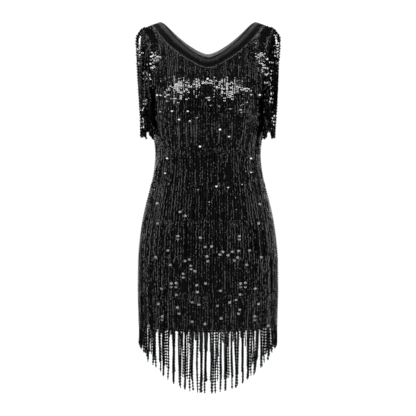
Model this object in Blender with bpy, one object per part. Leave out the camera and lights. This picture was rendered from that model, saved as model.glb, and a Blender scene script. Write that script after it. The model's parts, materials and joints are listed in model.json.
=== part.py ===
"""Latin dance dress: a short sleeveless V-neck sheath of sequinned stretch cloth, with strings of
sequins hanging all over it, a fringe of strings at each armhole and a long pointed fringe at the hem.

Units are metres and +Z is up. The front faces -Y. The origin lies midway between the two neck points,
where the shoulder seams meet the neck, because the dress is carried there.
"""

from collections import namedtuple
from math import pi, sin, sqrt

import bmesh
import bpy
import numpy as np
from mathutils import Vector

# Driving dimensions of the cut
NECK_HALF = 0.124           # centre line to a neck point
SHOULDER_HALF = 0.169       # centre line to a shoulder tip
SHOULDER_FALL = 0.015       # from a neck point down to the shoulder tip
FRONT_NECK_DROP = 0.1035    # from the neck points down to the point of the front V
BACK_NECK_DROP = 0.074      # the same at the back
NECK_CURVE = 1.35           # 1 is a straight V, 2 a scoop
NECK_POINT_ROUND = 0.08     # how softly the V turns at its point, as a share of its half width
NECK_SHOULDER_LIFT = 1.3    # how far the edge rounds up before it meets the shoulder seam
ARMHOLE_DEPTH = 0.205       # from the neck points down to the underarm
FRONT_ARMHOLE_BOW = 0.048   # how far the armhole edge stands forward of the side seam
BACK_ARMHOLE_BOW = 0.054
ARMHOLE_BOW_POWER = 8       # the higher, the closer to the armhole the bow stays
HEM_DROP_CENTRE = 0.790
HEM_DROP_SIDE = 0.779
SECTION_SQUARENESS = 2.3    # 2 is an ellipse, more is boxier
DART_FULLNESS = 0.007       # what the bust darts add to the front
DART_CENTRE_X = 0.070
DART_CENTRE_DROP = 0.222
DART_REACH_X = 0.046
DART_REACH_Z = 0.060
YOKE_BLEND_DROP = 0.060     # above this the section follows the slope of the shoulder

# Cloth and trim
WALL = 0.0016               # stretch cloth with its sewn sequins
STRING_RELIEF = 0.0020      # how far the hanging strings stand off the cloth
PLAIN_EDGE_COLUMNS = 3      # beside the armholes the cloth stays plain
SEAM_GAP = 0.0003
BINDING_WIDTH = 0.0086
BINDING_PROUD = 0.0006
BINDING_INSET = 0.0018
TAPE_END = 0.0235           # lower edge of the neck tape, from the neck edge
TAPE_THICK = 0.0012
PIPING_END = 0.0262
PIPING_THICK = 0.0021
TAPE_JOINT_COLUMN = 1.3     # the tape ends meet this many columns right of the centre line
TAPE_JOINT_GAP = 0.08       # in columns
LEAST_TRIM_CELL = 0.2       # in columns

# Fringe
STRAND_SIDE = 0.0026
HEM_STRANDS = 42            # on the front, and again on the back
HEM_STRIP_HEIGHT = 0.005
HEM_STRIP_OUT = 0.0014
HEM_POINT = -0.947          # lowest tip, at the centre of the fringe
HEM_RISE = 0.111            # how far the tips rise from the centre to the side seam
HEM_RISE_CURVE = 2.2
HEM_STEP = 0.004            # tips alternate by this much
SLEEVE_STRANDS = 18         # on each side, front and back together
SLEEVE_STRIP_GAP = 0.0008   # wider than a seam, to clear the turn of the cloth at the shoulder tip
SLEEVE_STRIP_WIDTH = 0.0030
SLEEVE_STRIP_PROUD = 0.0010
SLEEVE_TIP_Z = -0.301
SLEEVE_STEP = 0.006

# Mesh density
HALF_COLUMNS = 24           # columns from the centre line to the side seam
INNER_STEP = 3              # the inside has every third column
INNER_CUT_BACK = 0.28       # share of a row, so that the inside's longer chords clear the binding
YOKE_ROWS = 6
BODY_ROWS = 14
BODY_ROW_EASE = 0.65        # first row's height as a share of an even row's

# Half width of the dress at each drop below the neck points
Width = namedtuple("Width", "drop half")
WIDTHS = [
    Width(0.000, 0.1690),
    Width(0.015, 0.1690),
    Width(0.032, 0.1668),
    Width(0.060, 0.1605),
    Width(0.100, 0.1525),
    Width(0.140, 0.1476),
    Width(0.175, 0.1465),
    Width(0.205, 0.1480),
    Width(0.255, 0.1468),
    Width(0.290, 0.1412),
    Width(0.315, 0.1358),
    Width(0.342, 0.1337),
    Width(0.373, 0.1356),
    Width(0.405, 0.1408),
    Width(0.435, 0.1485),
    Width(0.498, 0.1640),
    Width(0.581, 0.1760),
    Width(0.680, 0.1793),
    Width(0.800, 0.1765),
]

# Depth of the section at the centre line, at each drop below the shoulder seam
Depth = namedtuple("Depth", "drop front back")
DEPTHS = [
    Depth(0.000, 0.000, 0.000),
    Depth(0.012, 0.022, 0.025),
    Depth(0.050, 0.050, 0.058),
    Depth(0.100, 0.078, 0.086),
    Depth(0.150, 0.101, 0.101),
    Depth(0.190, 0.114, 0.104),
    Depth(0.225, 0.119, 0.102),
    Depth(0.260, 0.116, 0.096),
    Depth(0.300, 0.106, 0.090),
    Depth(0.345, 0.098, 0.086),
    Depth(0.400, 0.099, 0.092),
    Depth(0.460, 0.106, 0.104),
    Depth(0.540, 0.112, 0.117),
    Depth(0.640, 0.115, 0.122),
    Depth(0.720, 0.116, 0.119),
    Depth(0.800, 0.115, 0.115),
]

# Path of a sleeve strand: share of the way down, and how far out of its root it stands
# at the shoulder tip and at the lowest root
Swing = namedtuple("Swing", "share at_tip at_end")
SLEEVE_SWING = [
    Swing(0.02, 0.0105, 0.0045),
    Swing(0.13, 0.0175, 0.0065),
    Swing(0.45, 0.0130, 0.0050),
    Swing(1.00, 0.0030, -0.0020),
]

FRONT = -1
BACK = 1


def smooth_value(knots, values, at):
    """Value of a smooth curve through the knots."""
    slopes = np.gradient(values, knots)
    i = int(np.clip(np.searchsorted(knots, at) - 1, 0, len(knots) - 2))
    step = knots[i + 1] - knots[i]
    t = float(np.clip((at - knots[i]) / step, 0.0, 1.0))
    start = values[i] * (1 + 2 * t) * (1 - t) ** 2 + slopes[i] * step * t * (1 - t) ** 2
    end = values[i + 1] * t * t * (3 - 2 * t) - slopes[i + 1] * step * t * t * (1 - t)
    return start + end


WIDTH_DROPS = np.array([row.drop for row in WIDTHS])
WIDTH_HALVES = np.array([row.half for row in WIDTHS])
DEPTH_KNOTS = np.array([sqrt(row.drop) for row in DEPTHS])
DEPTH_VALUES = {
    FRONT: np.array([row.front for row in DEPTHS]),
    BACK: np.array([row.back for row in DEPTHS]),
}
NECK_DROP = {FRONT: FRONT_NECK_DROP, BACK: BACK_NECK_DROP}
ARMHOLE_BOW = {FRONT: FRONT_ARMHOLE_BOW, BACK: BACK_ARMHOLE_BOW}


def mix(a, b, t):
    return a + (b - a) * t


def ease(t):
    t = min(max(t, 0.0), 1.0)
    return t * t * (3 - 2 * t)


def half_width(z):
    return smooth_value(WIDTH_DROPS, WIDTH_HALVES, -z)


def shoulder_slope():
    return SHOULDER_FALL / (SHOULDER_HALF - NECK_HALF)


def armhole_bow(side, z):
    """Depth of the armhole edge, an arch from the shoulder tip to the underarm."""
    t = (-z - SHOULDER_FALL) / (ARMHOLE_DEPTH - SHOULDER_FALL)
    if t <= 0 or t >= 1:
        return 0.0
    return ARMHOLE_BOW[side] * sqrt(4 * t * (1 - t))


def surface_point(side, x, z):
    """Point of the dress's outer face at a place of the front view."""
    across = min(abs(x) / half_width(z), 1.0)
    follow = ease((z + ARMHOLE_DEPTH) / (ARMHOLE_DEPTH - YOKE_BLEND_DROP))
    seam_height = shoulder_slope() * (NECK_HALF - abs(x)) * follow
    drop = max(seam_height - z, 0.0)
    centre = smooth_value(DEPTH_KNOTS, DEPTH_VALUES[side], sqrt(drop))
    edge = armhole_bow(side, z)
    round_off = sqrt(max(1 - across ** SECTION_SQUARENESS, 0.0))
    depth = centre * round_off + edge * across ** ARMHOLE_BOW_POWER
    if side == FRONT:
        off_x = (abs(x) - DART_CENTRE_X) / DART_REACH_X
        off_z = (z + DART_CENTRE_DROP) / DART_REACH_Z
        depth += DART_FULLNESS * np.exp(-off_x ** 2 - off_z ** 2)
    return np.array([x, side * (depth + SEAM_GAP / 2), z])


def neck_rise(share, curve):
    """How far a line beside the neck edge has risen from its point, from 0 to 1 at the shoulder."""
    soft = NECK_POINT_ROUND ** curve
    rise = (share * share + NECK_POINT_ROUND ** 2) ** (curve / 2) - soft
    full = (1 + NECK_POINT_ROUND ** 2) ** (curve / 2) - soft
    lift = NECK_SHOULDER_LIFT * share ** 8 * (1 - abs(share)) * (2 - curve) / (2 - NECK_CURVE)
    return rise / full + lift


def neck_row(side, offset, share):
    """Point of a line that runs parallel to the neck edge, from one shoulder seam to the other."""
    end_x = NECK_HALF + offset
    end_z = -shoulder_slope() * offset
    mid_z = -NECK_DROP[side] - offset
    z = mix(mid_z, end_z, neck_rise(share, NECK_CURVE))
    return surface_point(side, end_x * share, z)


def yoke_row(side, step, share):
    """Point of a row that ends on the armhole edge."""
    end_z = mix(-SHOULDER_FALL, -ARMHOLE_DEPTH, (1 - np.cos(pi * step)) / 2)
    tip_offset = SHOULDER_HALF - NECK_HALF
    mid_z = mix(-NECK_DROP[side] - tip_offset, -ARMHOLE_DEPTH, step)
    z = mix(mid_z, end_z, neck_rise(share, mix(NECK_CURVE, 2, step)))
    reach = mix(half_width(end_z), half_width(z), step)
    return surface_point(side, reach * share, z)


def hem_z(share):
    return -mix(HEM_DROP_CENTRE, HEM_DROP_SIDE, share * share)


def body_row(side, step, share):
    """Point of a row that ends on the side seams, below the armholes."""
    z = mix(-ARMHOLE_DEPTH, hem_z(share), step)
    return surface_point(side, half_width(z) * share, z)


NECK_OFFSETS = [
    BINDING_WIDTH + SEAM_GAP,
    (BINDING_WIDTH + TAPE_END) / 2,
    TAPE_END,
    PIPING_END,
    (PIPING_END + SHOULDER_HALF - NECK_HALF) / 2,
    SHOULDER_HALF - NECK_HALF,
]
TAPE_ROW = 2
PIPING_ROW = 3
TIP_ROW = len(NECK_OFFSETS) - 1
UNDERARM_ROW = TIP_ROW + YOKE_ROWS
SLEEVE_LOWEST_ROW = UNDERARM_ROW - 2


def shares():
    """Column places, closer together towards the side seams."""
    count = 2 * HALF_COLUMNS
    return [sin(pi / 2 * (2 * i / count - 1)) for i in range(count + 1)]


def grid_normals(grid, side):
    """Outward directions of a grid of points, whose rows run down and columns across."""
    down = np.gradient(grid, axis=0)
    across = np.gradient(grid, axis=1)
    normals = np.cross(down, across) * -side
    return normals / np.linalg.norm(normals, axis=2, keepdims=True)


def lifted(grid, normals, lift, side):
    """The grid moved along its normals, kept on its own side of the seams."""
    moved = grid + normals * lift
    moved[..., 1] = side * np.maximum(side * moved[..., 1], SEAM_GAP / 2)
    return moved


def panel_grid(side):
    rows = [[neck_row(side, offset, s) for s in shares()] for offset in NECK_OFFSETS]
    for k in range(1, YOKE_ROWS + 1):
        rows.append([yoke_row(side, k / YOKE_ROWS, s) for s in shares()])
    for k in range(1, BODY_ROWS + 1):
        step = k / BODY_ROWS
        rows.append([body_row(side, step * mix(BODY_ROW_EASE, 1, step), s) for s in shares()])
    return np.array(rows)


PANELS = {side: panel_grid(side) for side in (FRONT, BACK)}
NORMALS = {side: grid_normals(PANELS[side], side) for side in (FRONT, BACK)}


def make_material(name, colour, roughness, metallic=0.0):
    material = bpy.data.materials.new(name)
    material.use_nodes = True
    shader = material.node_tree.nodes["Principled BSDF"]
    shader.inputs["Base Color"].default_value = (*colour, 1.0)
    shader.inputs["Roughness"].default_value = roughness
    shader.inputs["Metallic"].default_value = metallic
    return material


def make_object(name, points, faces, material, smooth_angle=pi / 5):
    mesh = bpy.data.meshes.new(name)
    mesh.from_pydata([tuple(p) for p in points], [], faces)
    shape = bmesh.new()
    shape.from_mesh(mesh)
    bmesh.ops.recalc_face_normals(shape, faces=shape.faces[:])
    shape.to_mesh(mesh)
    shape.free()
    mesh.materials.append(material)
    mesh.shade_smooth()
    mesh.set_sharp_from_angle(angle=smooth_angle)
    obj = bpy.data.objects.new(name, mesh)
    bpy.context.scene.collection.objects.link(obj)
    return obj


def wall(name, outer, inner, step, material):
    """A closed wall between two grids with the same rows. The inner one has every step-th column."""
    row_count, outer_count = outer.shape[:2]
    inner_count = inner.shape[1]
    points = list(outer.reshape(-1, 3)) + list(inner.reshape(-1, 3))
    faces = []

    def outer_at(r, c):
        return r * outer_count + c

    def inner_at(r, c):
        return row_count * outer_count + r * inner_count + c

    for r in range(row_count - 1):
        for c in range(outer_count - 1):
            faces.append([outer_at(r, c), outer_at(r + 1, c), outer_at(r + 1, c + 1), outer_at(r, c + 1)])
        for c in range(inner_count - 1):
            faces.append([inner_at(r, c), inner_at(r, c + 1), inner_at(r + 1, c + 1), inner_at(r + 1, c)])
        faces.append([outer_at(r, 0), inner_at(r, 0), inner_at(r + 1, 0), outer_at(r + 1, 0)])
        o, i = outer_count - 1, inner_count - 1
        faces.append([outer_at(r, o), outer_at(r + 1, o), inner_at(r + 1, i), inner_at(r, i)])
    for r in (0, row_count - 1):
        for c in range(inner_count - 1):
            first = c * step
            middle = (step - 1) // 2
            for k in range(step):
                near = inner_at(r, c) if k <= middle else inner_at(r, c + 1)
                edge = [outer_at(r, first + k), outer_at(r, first + k + 1), near]
                if k == middle:
                    edge.insert(2, inner_at(r, c + 1))
                faces.append(edge)
    return make_object(name, points, faces, material)


def string_relief(row, column):
    """How far the hanging strings lift the cloth's outer face: every other column is a string."""
    if column % 2 == 0 or row <= PIPING_ROW:
        return 0.0
    from_edge = min(column, 2 * HALF_COLUMNS - column)
    if row <= UNDERARM_ROW and from_edge < PLAIN_EDGE_COLUMNS:
        return 0.0
    return STRING_RELIEF * ease((row - PIPING_ROW) / 2)


def make_panel(name, side, material):
    base, normals = PANELS[side], NORMALS[side]
    row_count, column_count = base.shape[:2]
    lifts = [[string_relief(r, c) for c in range(column_count)] for r in range(row_count)]
    outer = lifted(base, normals, np.array(lifts)[..., None], side)
    inner = lifted(base, normals, -WALL, side)[:, ::INNER_STEP]
    inner[0] = mix(inner[0], inner[1], INNER_CUT_BACK)
    return wall(name, outer, inner, INNER_STEP, material)


def make_binding(name, side, material):
    """The bound neck edge, a folded strip just above the panel."""
    base = np.array([[neck_row(side, offset, s) for s in shares()] for offset in (0.0, BINDING_WIDTH)])
    normals = NORMALS[side][:1]
    outer = lifted(base, normals, BINDING_PROUD, side)
    inner = lifted(base, normals, -BINDING_INSET, side)
    return wall(name, outer, inner, 1, material)


def sample(grid, row, column):
    """Point of a grid at a fractional row and column."""
    r = min(int(row), grid.shape[0] - 2)
    c = min(int(column), grid.shape[1] - 2)
    upper = mix(grid[r, c], grid[r, c + 1], column - c)
    lower = mix(grid[r + 1, c], grid[r + 1, c + 1], column - c)
    return mix(upper, lower, row - r)


def make_trim(name, side, rows, columns, thick, material):
    """A strip that lies on a panel, made from the panel's points and moved out."""
    base = np.array([[sample(PANELS[side], r, c) for c in columns] for r in rows])
    normals = np.array([[sample(NORMALS[side], r, c) for c in columns] for r in rows])
    normals /= np.linalg.norm(normals, axis=2, keepdims=True)
    outer = lifted(base, normals, SEAM_GAP + thick, side)
    inner = lifted(base, normals, SEAM_GAP, side)
    return wall(name, outer, inner, 1, material)


def column_range(first, last):
    """Whole columns between two places, with the places themselves at the ends."""
    inside = (first + LEAST_TRIM_CELL, last - LEAST_TRIM_CELL)
    whole = [c for c in range(2 * HALF_COLUMNS + 1) if inside[0] < c < inside[1]]
    return [first] + whole + [last]


def fringe(name, sections, paths, material):
    """A strip with a strand on every other cell, in one body.

    Each section has four corners. Strand k grows from the face between the second and third
    corners of sections 2k + 1 and 2k + 2, and runs through the k-th path.
    """
    points = [Vector(p) for section in sections for p in section]
    faces = [[3, 2, 1, 0]]
    last = 4 * (len(sections) - 1)
    faces.append([last, last + 1, last + 2, last + 3])
    for s in range(len(sections) - 1):
        a, b = 4 * s, 4 * (s + 1)
        for corner in range(4):
            following = (corner + 1) % 4
            cell = [a + corner, a + following, b + following, b + corner]
            if corner == 1 and s % 2 == 1:
                grow_strand(points, faces, cell, paths[s // 2])
            else:
                faces.append(cell)
    return make_object(name, points, faces, material, smooth_angle=pi / 8)


def grow_strand(points, faces, root, path):
    """Add a four-sided strand that starts on the root face and follows the path."""
    corners = [points[i] for i in root]
    centre = sum(corners, Vector()) / 4
    across = (corners[1] + corners[2] - corners[0] - corners[3]).normalized()
    along = (corners[2] + corners[3] - corners[0] - corners[1]).normalized()
    signs = ((-1, -1), (1, -1), (1, 1), (-1, 1))
    offsets = [(across * s + along * t) * STRAND_SIDE / 2 for s, t in signs]
    heading = across.cross(along).normalized()
    if heading.dot(Vector(path[0]) - centre) < 0:
        heading = -heading
    ring = root
    stops = [centre] + [Vector(p) for p in path]
    for k in range(1, len(stops)):
        before = (stops[k] - stops[k - 1]).normalized()
        after = (stops[min(k + 1, len(stops) - 1)] - stops[k]).normalized()
        turned = (before + after).normalized()
        rotation = heading.rotation_difference(turned)
        offsets = [rotation @ offset for offset in offsets]
        heading = turned
        first = len(points)
        points.extend(stops[k] + offset for offset in offsets)
        following = [first, first + 1, first + 2, first + 3]
        for c in range(4):
            d = (c + 1) % 4
            faces.append([ring[c], ring[d], following[d], following[c]])
        ring = following
    faces.append(ring)


def cell_sections(guide, lines, count):
    """Sections across the lines, at both sides of each strand's root and at the two ends.

    The roots are spaced evenly along the guide, which runs beside the lines point for point.
    """
    steps = np.linalg.norm(np.diff(guide, axis=0), axis=1)
    reach = np.concatenate(([0.0], np.cumsum(steps)))
    pitch = reach[-1] / count
    places = [SEAM_GAP]
    for k in range(count):
        middle = pitch * (k + 0.5)
        places += [middle - STRAND_SIDE / 2, middle + STRAND_SIDE / 2]
    places.append(reach[-1] - SEAM_GAP)
    sections = []
    for place in places:
        sections.append([[np.interp(place, reach, line[:, axis]) for axis in range(3)] for line in lines])
    return np.array(sections)


def root_centres(sections, count):
    return [sections[2 * k + 1:2 * k + 3, 1:3].mean(axis=(0, 1)) for k in range(count)]


def make_hem_fringe(name, side, material):
    """Long fringe of one half of the hem, on a strip that hangs from the cloth's lower edge."""
    base, normals = PANELS[side][-1:], NORMALS[side][-1:]
    outer = lifted(base, normals, HEM_STRIP_OUT, side)[0]
    inner = lifted(base, normals, -WALL, side)[0]
    top = np.array([0, 0, -SEAM_GAP])
    bottom = top - [0, 0, HEM_STRIP_HEIGHT]
    lines = [outer + top, outer + bottom, inner + bottom, inner + top]
    sections = cell_sections(outer, lines, HEM_STRANDS)
    paths = []
    for k, root in enumerate(root_centres(sections, HEM_STRANDS)):
        spread = abs(root[0]) / WIDTHS[-1].half
        tip_z = HEM_POINT + HEM_RISE * spread ** HEM_RISE_CURVE + HEM_STEP * (k % 2)
        paths.append([root - [0, 0, STRAND_SIDE], [root[0], root[1], tip_z]])
    return fringe(name, sections, paths, material)


def armhole_edge(end):
    """Points and outward directions along the armhole, from low at the front to low at the back."""
    column = 0 if end < 0 else 2 * HALF_COLUMNS
    rows = list(range(SLEEVE_LOWEST_ROW, TIP_ROW, -1))
    places = [(FRONT, r) for r in rows] + [(FRONT, TIP_ROW)] + [(BACK, r) for r in rows[::-1]]
    points = np.array([PANELS[side][row, column] for side, row in places])
    normals = np.array([NORMALS[side][row, column] for side, row in places])
    tip = len(rows)
    points[tip] = (PANELS[FRONT][TIP_ROW, column] + PANELS[BACK][TIP_ROW, column]) / 2
    normals[tip] = NORMALS[FRONT][TIP_ROW, column] + NORMALS[BACK][TIP_ROW, column]
    return points, normals / np.linalg.norm(normals, axis=1, keepdims=True)


def make_sleeve_fringe(name, end, material):
    """Fringe of one armhole, on a strip beside the cloth's edge. end is -1 or 1, its side along X."""
    edge, outward = armhole_edge(end)
    inward = np.cross(np.gradient(edge, axis=0), outward) * end
    inward /= np.linalg.norm(inward, axis=1, keepdims=True)
    near = edge + inward * SLEEVE_STRIP_GAP
    far = near + inward * SLEEVE_STRIP_WIDTH
    lines = [
        near - outward * WALL,
        near + outward * SLEEVE_STRIP_PROUD,
        far + outward * SLEEVE_STRIP_PROUD,
        far - outward * WALL,
    ]
    sections = cell_sections(edge, lines, SLEEVE_STRANDS)
    paths = []
    for k, root in enumerate(root_centres(sections, SLEEVE_STRANDS)):
        from_tip = abs(2 * (k + 0.5) / SLEEVE_STRANDS - 1)
        tip_z = SLEEVE_TIP_Z + SLEEVE_STEP * (k % 2)
        path = []
        for swing in SLEEVE_SWING:
            out = mix(swing.at_tip, swing.at_end, ease(from_tip))
            path.append([root[0] + end * out, root[1], mix(root[2], tip_z, swing.share)])
        paths.append(path)
    return fringe(name, sections, paths, material)


def clear_scene():
    for obj in list(bpy.data.objects):
        bpy.data.objects.remove(obj)


def main():
    clear_scene()
    cloth = make_material("sequinned_cloth", (0.012, 0.012, 0.013), 0.38)
    satin = make_material("satin_binding", (0.030, 0.030, 0.033), 0.45)
    tape = make_material("woven_tape", (0.008, 0.008, 0.009), 0.70)
    piping = make_material("satin_piping", (0.060, 0.060, 0.064), 0.40)
    sequins = make_material("sequin_strings", (0.010, 0.010, 0.012), 0.22)

    for name, side in (("front", FRONT), ("back", BACK)):
        make_panel(f"{name}_panel", side, cloth)
        make_binding(f"neck_binding_{name}", side, satin)
        make_hem_fringe(f"hem_fringe_{name}", side, sequins)

    tape_rows = [SEAM_GAP / BINDING_WIDTH, 1, TAPE_ROW]
    piping_rows = [TAPE_ROW + SEAM_GAP / (PIPING_END - TAPE_END), PIPING_ROW]
    whole = column_range(0, 2 * HALF_COLUMNS)
    joint = HALF_COLUMNS + TAPE_JOINT_COLUMN
    left = column_range(0, joint - TAPE_JOINT_GAP / 2)
    right = column_range(joint + TAPE_JOINT_GAP / 2, 2 * HALF_COLUMNS)
    for name, side, columns in (("front_a", FRONT, left), ("front_b", FRONT, right), ("back", BACK, whole)):
        make_trim(f"neck_tape_{name}", side, tape_rows, columns, TAPE_THICK, tape)
        make_trim(f"neck_piping_{name}", side, piping_rows, columns, PIPING_THICK, piping)

    make_sleeve_fringe("sleeve_fringe_a", -1, sequins)
    make_sleeve_fringe("sleeve_fringe_b", 1, sequins)


main()
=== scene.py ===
"""Latin dance dress of black sequinned stretch cloth, hung all over with strings of sequins.

Units are metres, +Z is up and the front faces -Y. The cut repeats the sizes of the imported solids, so that
each piece lies on them.
"""

import json
from collections import namedtuple
from math import cos, pi, radians, sin

import bmesh
import bpy
import numpy as np
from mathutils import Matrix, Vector

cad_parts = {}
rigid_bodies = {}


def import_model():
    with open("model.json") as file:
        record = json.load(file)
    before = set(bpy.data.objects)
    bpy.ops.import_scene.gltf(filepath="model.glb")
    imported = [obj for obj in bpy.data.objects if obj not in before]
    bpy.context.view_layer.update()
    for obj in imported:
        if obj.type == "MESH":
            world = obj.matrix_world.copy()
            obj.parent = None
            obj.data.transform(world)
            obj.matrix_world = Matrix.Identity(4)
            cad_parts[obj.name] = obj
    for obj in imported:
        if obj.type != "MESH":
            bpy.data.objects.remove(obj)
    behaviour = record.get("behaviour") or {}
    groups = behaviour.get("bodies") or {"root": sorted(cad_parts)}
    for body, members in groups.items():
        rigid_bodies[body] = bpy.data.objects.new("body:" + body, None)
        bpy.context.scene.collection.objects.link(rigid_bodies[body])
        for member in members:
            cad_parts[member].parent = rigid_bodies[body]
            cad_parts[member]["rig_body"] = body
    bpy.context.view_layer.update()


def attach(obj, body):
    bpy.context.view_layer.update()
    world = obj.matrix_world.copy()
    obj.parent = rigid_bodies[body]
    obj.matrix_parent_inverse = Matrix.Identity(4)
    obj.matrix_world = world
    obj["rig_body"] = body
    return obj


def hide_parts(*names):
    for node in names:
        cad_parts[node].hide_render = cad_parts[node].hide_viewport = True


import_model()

bl_info = {
    "name": "Sequin string dress",
    "version": (1, 0, 0),
    "blender": (4, 5, 0),
    "location": "View3D > Sidebar > Dress",
    "description": "Makes the cloth, trims, sequin strings and studio of a fringed latin dance dress",
    "category": "Object",
}

FRONT = -1
BACK = 1
SIDE_NAMES = {FRONT: "front", BACK: "back"}

# The cut, as in the solids
NECK_HALF = 0.124           # centre line to a neck point
SHOULDER_HALF = 0.169       # centre line to a shoulder tip
SHOULDER_FALL = 0.015
NECK_DROP = {FRONT: 0.1035, BACK: 0.074}
NECK_CURVE = 1.35           # 1 is a straight V, 2 a scoop
NECK_POINT_ROUND = 0.08
NECK_SHOULDER_LIFT = 1.3
ARMHOLE_DEPTH = 0.205
ARMHOLE_BOW = {FRONT: 0.048, BACK: 0.054}
ARMHOLE_BOW_POWER = 8
HEM_DROP_CENTRE = 0.790
HEM_DROP_SIDE = 0.779
SECTION_SQUARENESS = 2.3    # 2 is an ellipse, more is boxier
DART_FULLNESS = 0.007
DART_CENTRE_X = 0.070
DART_CENTRE_DROP = 0.222
DART_REACH_X = 0.046
DART_REACH_Z = 0.060
YOKE_BLEND_DROP = 0.060
SEAM_GAP = 0.0003
BINDING_WIDTH = 0.0086
TAPE_END = 0.0235           # lower edge of the neck tape, from the neck edge
PIPING_END = 0.0262
TRIM_SPREAD = 0.25          # how much wider the trims are halfway up the V
SLEEVE_LOWEST_DROP = 0.1575  # where the sleeve fringe ends on the armhole edge
SLEEVE_TIP_Z = -0.301
HEM_POINT = -0.947
HEM_RISE = 0.111
HEM_RISE_CURVE = 2.2
HEM_STRINGS = 66            # on the front, and again on the back
TIP_OFFSET = SHOULDER_HALF - NECK_HALF
SHOULDER_SLOPE = SHOULDER_FALL / TIP_OFFSET

# Half width of the dress at each drop below the neck points
Width = namedtuple("Width", "drop half")
WIDTHS = [
    Width(0.000, 0.1690), Width(0.015, 0.1690), Width(0.032, 0.1668), Width(0.060, 0.1605),
    Width(0.100, 0.1525), Width(0.140, 0.1476), Width(0.175, 0.1465), Width(0.205, 0.1480),
    Width(0.255, 0.1468), Width(0.290, 0.1412), Width(0.315, 0.1358), Width(0.342, 0.1337),
    Width(0.373, 0.1356), Width(0.405, 0.1408), Width(0.435, 0.1485), Width(0.498, 0.1640),
    Width(0.581, 0.1760), Width(0.680, 0.1793), Width(0.800, 0.1765),
]

# Depth of the section at the centre line, at each drop below the shoulder seam
Depth = namedtuple("Depth", "drop front back")
DEPTHS = [
    Depth(0.000, 0.000, 0.000),
    Depth(0.012, 0.022, 0.025),
    Depth(0.050, 0.050, 0.058),
    Depth(0.100, 0.078, 0.086),
    Depth(0.150, 0.101, 0.101),
    Depth(0.190, 0.114, 0.104),
    Depth(0.225, 0.119, 0.102),
    Depth(0.260, 0.116, 0.096),
    Depth(0.300, 0.106, 0.090),
    Depth(0.345, 0.098, 0.086),
    Depth(0.400, 0.099, 0.092),
    Depth(0.460, 0.106, 0.104),
    Depth(0.540, 0.112, 0.117),
    Depth(0.640, 0.115, 0.122),
    Depth(0.720, 0.116, 0.119),
    Depth(0.800, 0.115, 0.115),
]

# Sleeve strings of each armhole, in groups on the front and again on the back: how many, where their roots
# lie along the edge from the shoulder tip, how far down and how far from the centre line they stand out
# most, where their tips hang, and how far above the lowest tips they end
Group = namedtuple(
    "Group", "count root_from root_to bow_at out_from out_to tip_from tip_to rise_from rise_to"
)
SLEEVE_GROUPS = [
    Group(2, 0.00, 0.08, 0.10, 0.1830, 0.1860, 0.171, 0.174, 0.000, 0.006),
    Group(4, 0.00, 0.04, 0.40, 0.1660, 0.1790, 0.160, 0.172, 0.012, 0.030),
    Group(8, 0.04, 0.34, 0.45, 0.1690, 0.1795, 0.163, 0.173, 0.000, 0.016),
    Group(13, 0.10, 0.50, 0.40, 0.1570, 0.1710, 0.151, 0.162, 0.018, 0.028),
    Group(15, 0.25, 1.00, 0.40, 0.1460, 0.1570, 0.141, 0.151, 0.000, 0.014),
]

# Main creases of the cloth: centre, half length, angle in degrees, width and height
Crease = namedtuple("Crease", "side x z half_length angle width height")
CREASES = [
    Crease(FRONT, -0.112, -0.238, 0.034, 38, 0.007, 0.0022),
    Crease(FRONT, -0.120, -0.262, 0.026, 30, 0.006, -0.0018),
    Crease(FRONT, 0.115, -0.232, 0.030, -41, 0.006, 0.0020),
    Crease(FRONT, 0.108, -0.258, 0.038, -33, 0.008, 0.0024),
    Crease(FRONT, -0.085, -0.352, 0.042, 6, 0.006, 0.0016),
    Crease(FRONT, 0.068, -0.338, 0.050, -5, 0.007, 0.0019),
    Crease(FRONT, -0.030, -0.368, 0.036, 4, 0.006, -0.0014),
    Crease(FRONT, 0.098, -0.398, 0.040, -20, 0.008, 0.0019),
    Crease(FRONT, -0.104, -0.404, 0.032, 24, 0.007, 0.0016),
    Crease(FRONT, 0.030, -0.455, 0.055, 3, 0.010, -0.0015),
    Crease(BACK, -0.112, -0.205, 0.032, 36, 0.007, 0.0021),
    Crease(BACK, 0.118, -0.222, 0.036, -30, 0.008, 0.0018),
    Crease(BACK, 0.010, -0.340, 0.062, 2, 0.008, 0.0024),
    Crease(BACK, -0.070, -0.362, 0.045, 9, 0.007, -0.0018),
    Crease(BACK, 0.066, -0.326, 0.048, -7, 0.006, 0.0016),
    Crease(BACK, -0.095, -0.405, 0.036, 22, 0.008, 0.0017),
    Crease(BACK, 0.100, -0.418, 0.030, -26, 0.007, 0.0020),
]

# Heights between which each tier of strings hangs, and how far its sequins tip back, in radians.
# The first tier hangs from the neck trim.
Tier = namedtuple("Tier", "root end tilt")
TIERS = [
    Tier(None, -0.168, -0.17),
    Tier(-0.152, -0.258, 0.06),
    Tier(-0.240, -0.346, 0.08),
    Tier(-0.330, -0.438, 0.07),
    Tier(-0.420, -0.530, 0.06),
    Tier(-0.512, -0.622, 0.05),
    Tier(-0.604, -0.712, 0.04),
    Tier(-0.696, -0.806, 0.03),
]
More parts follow.
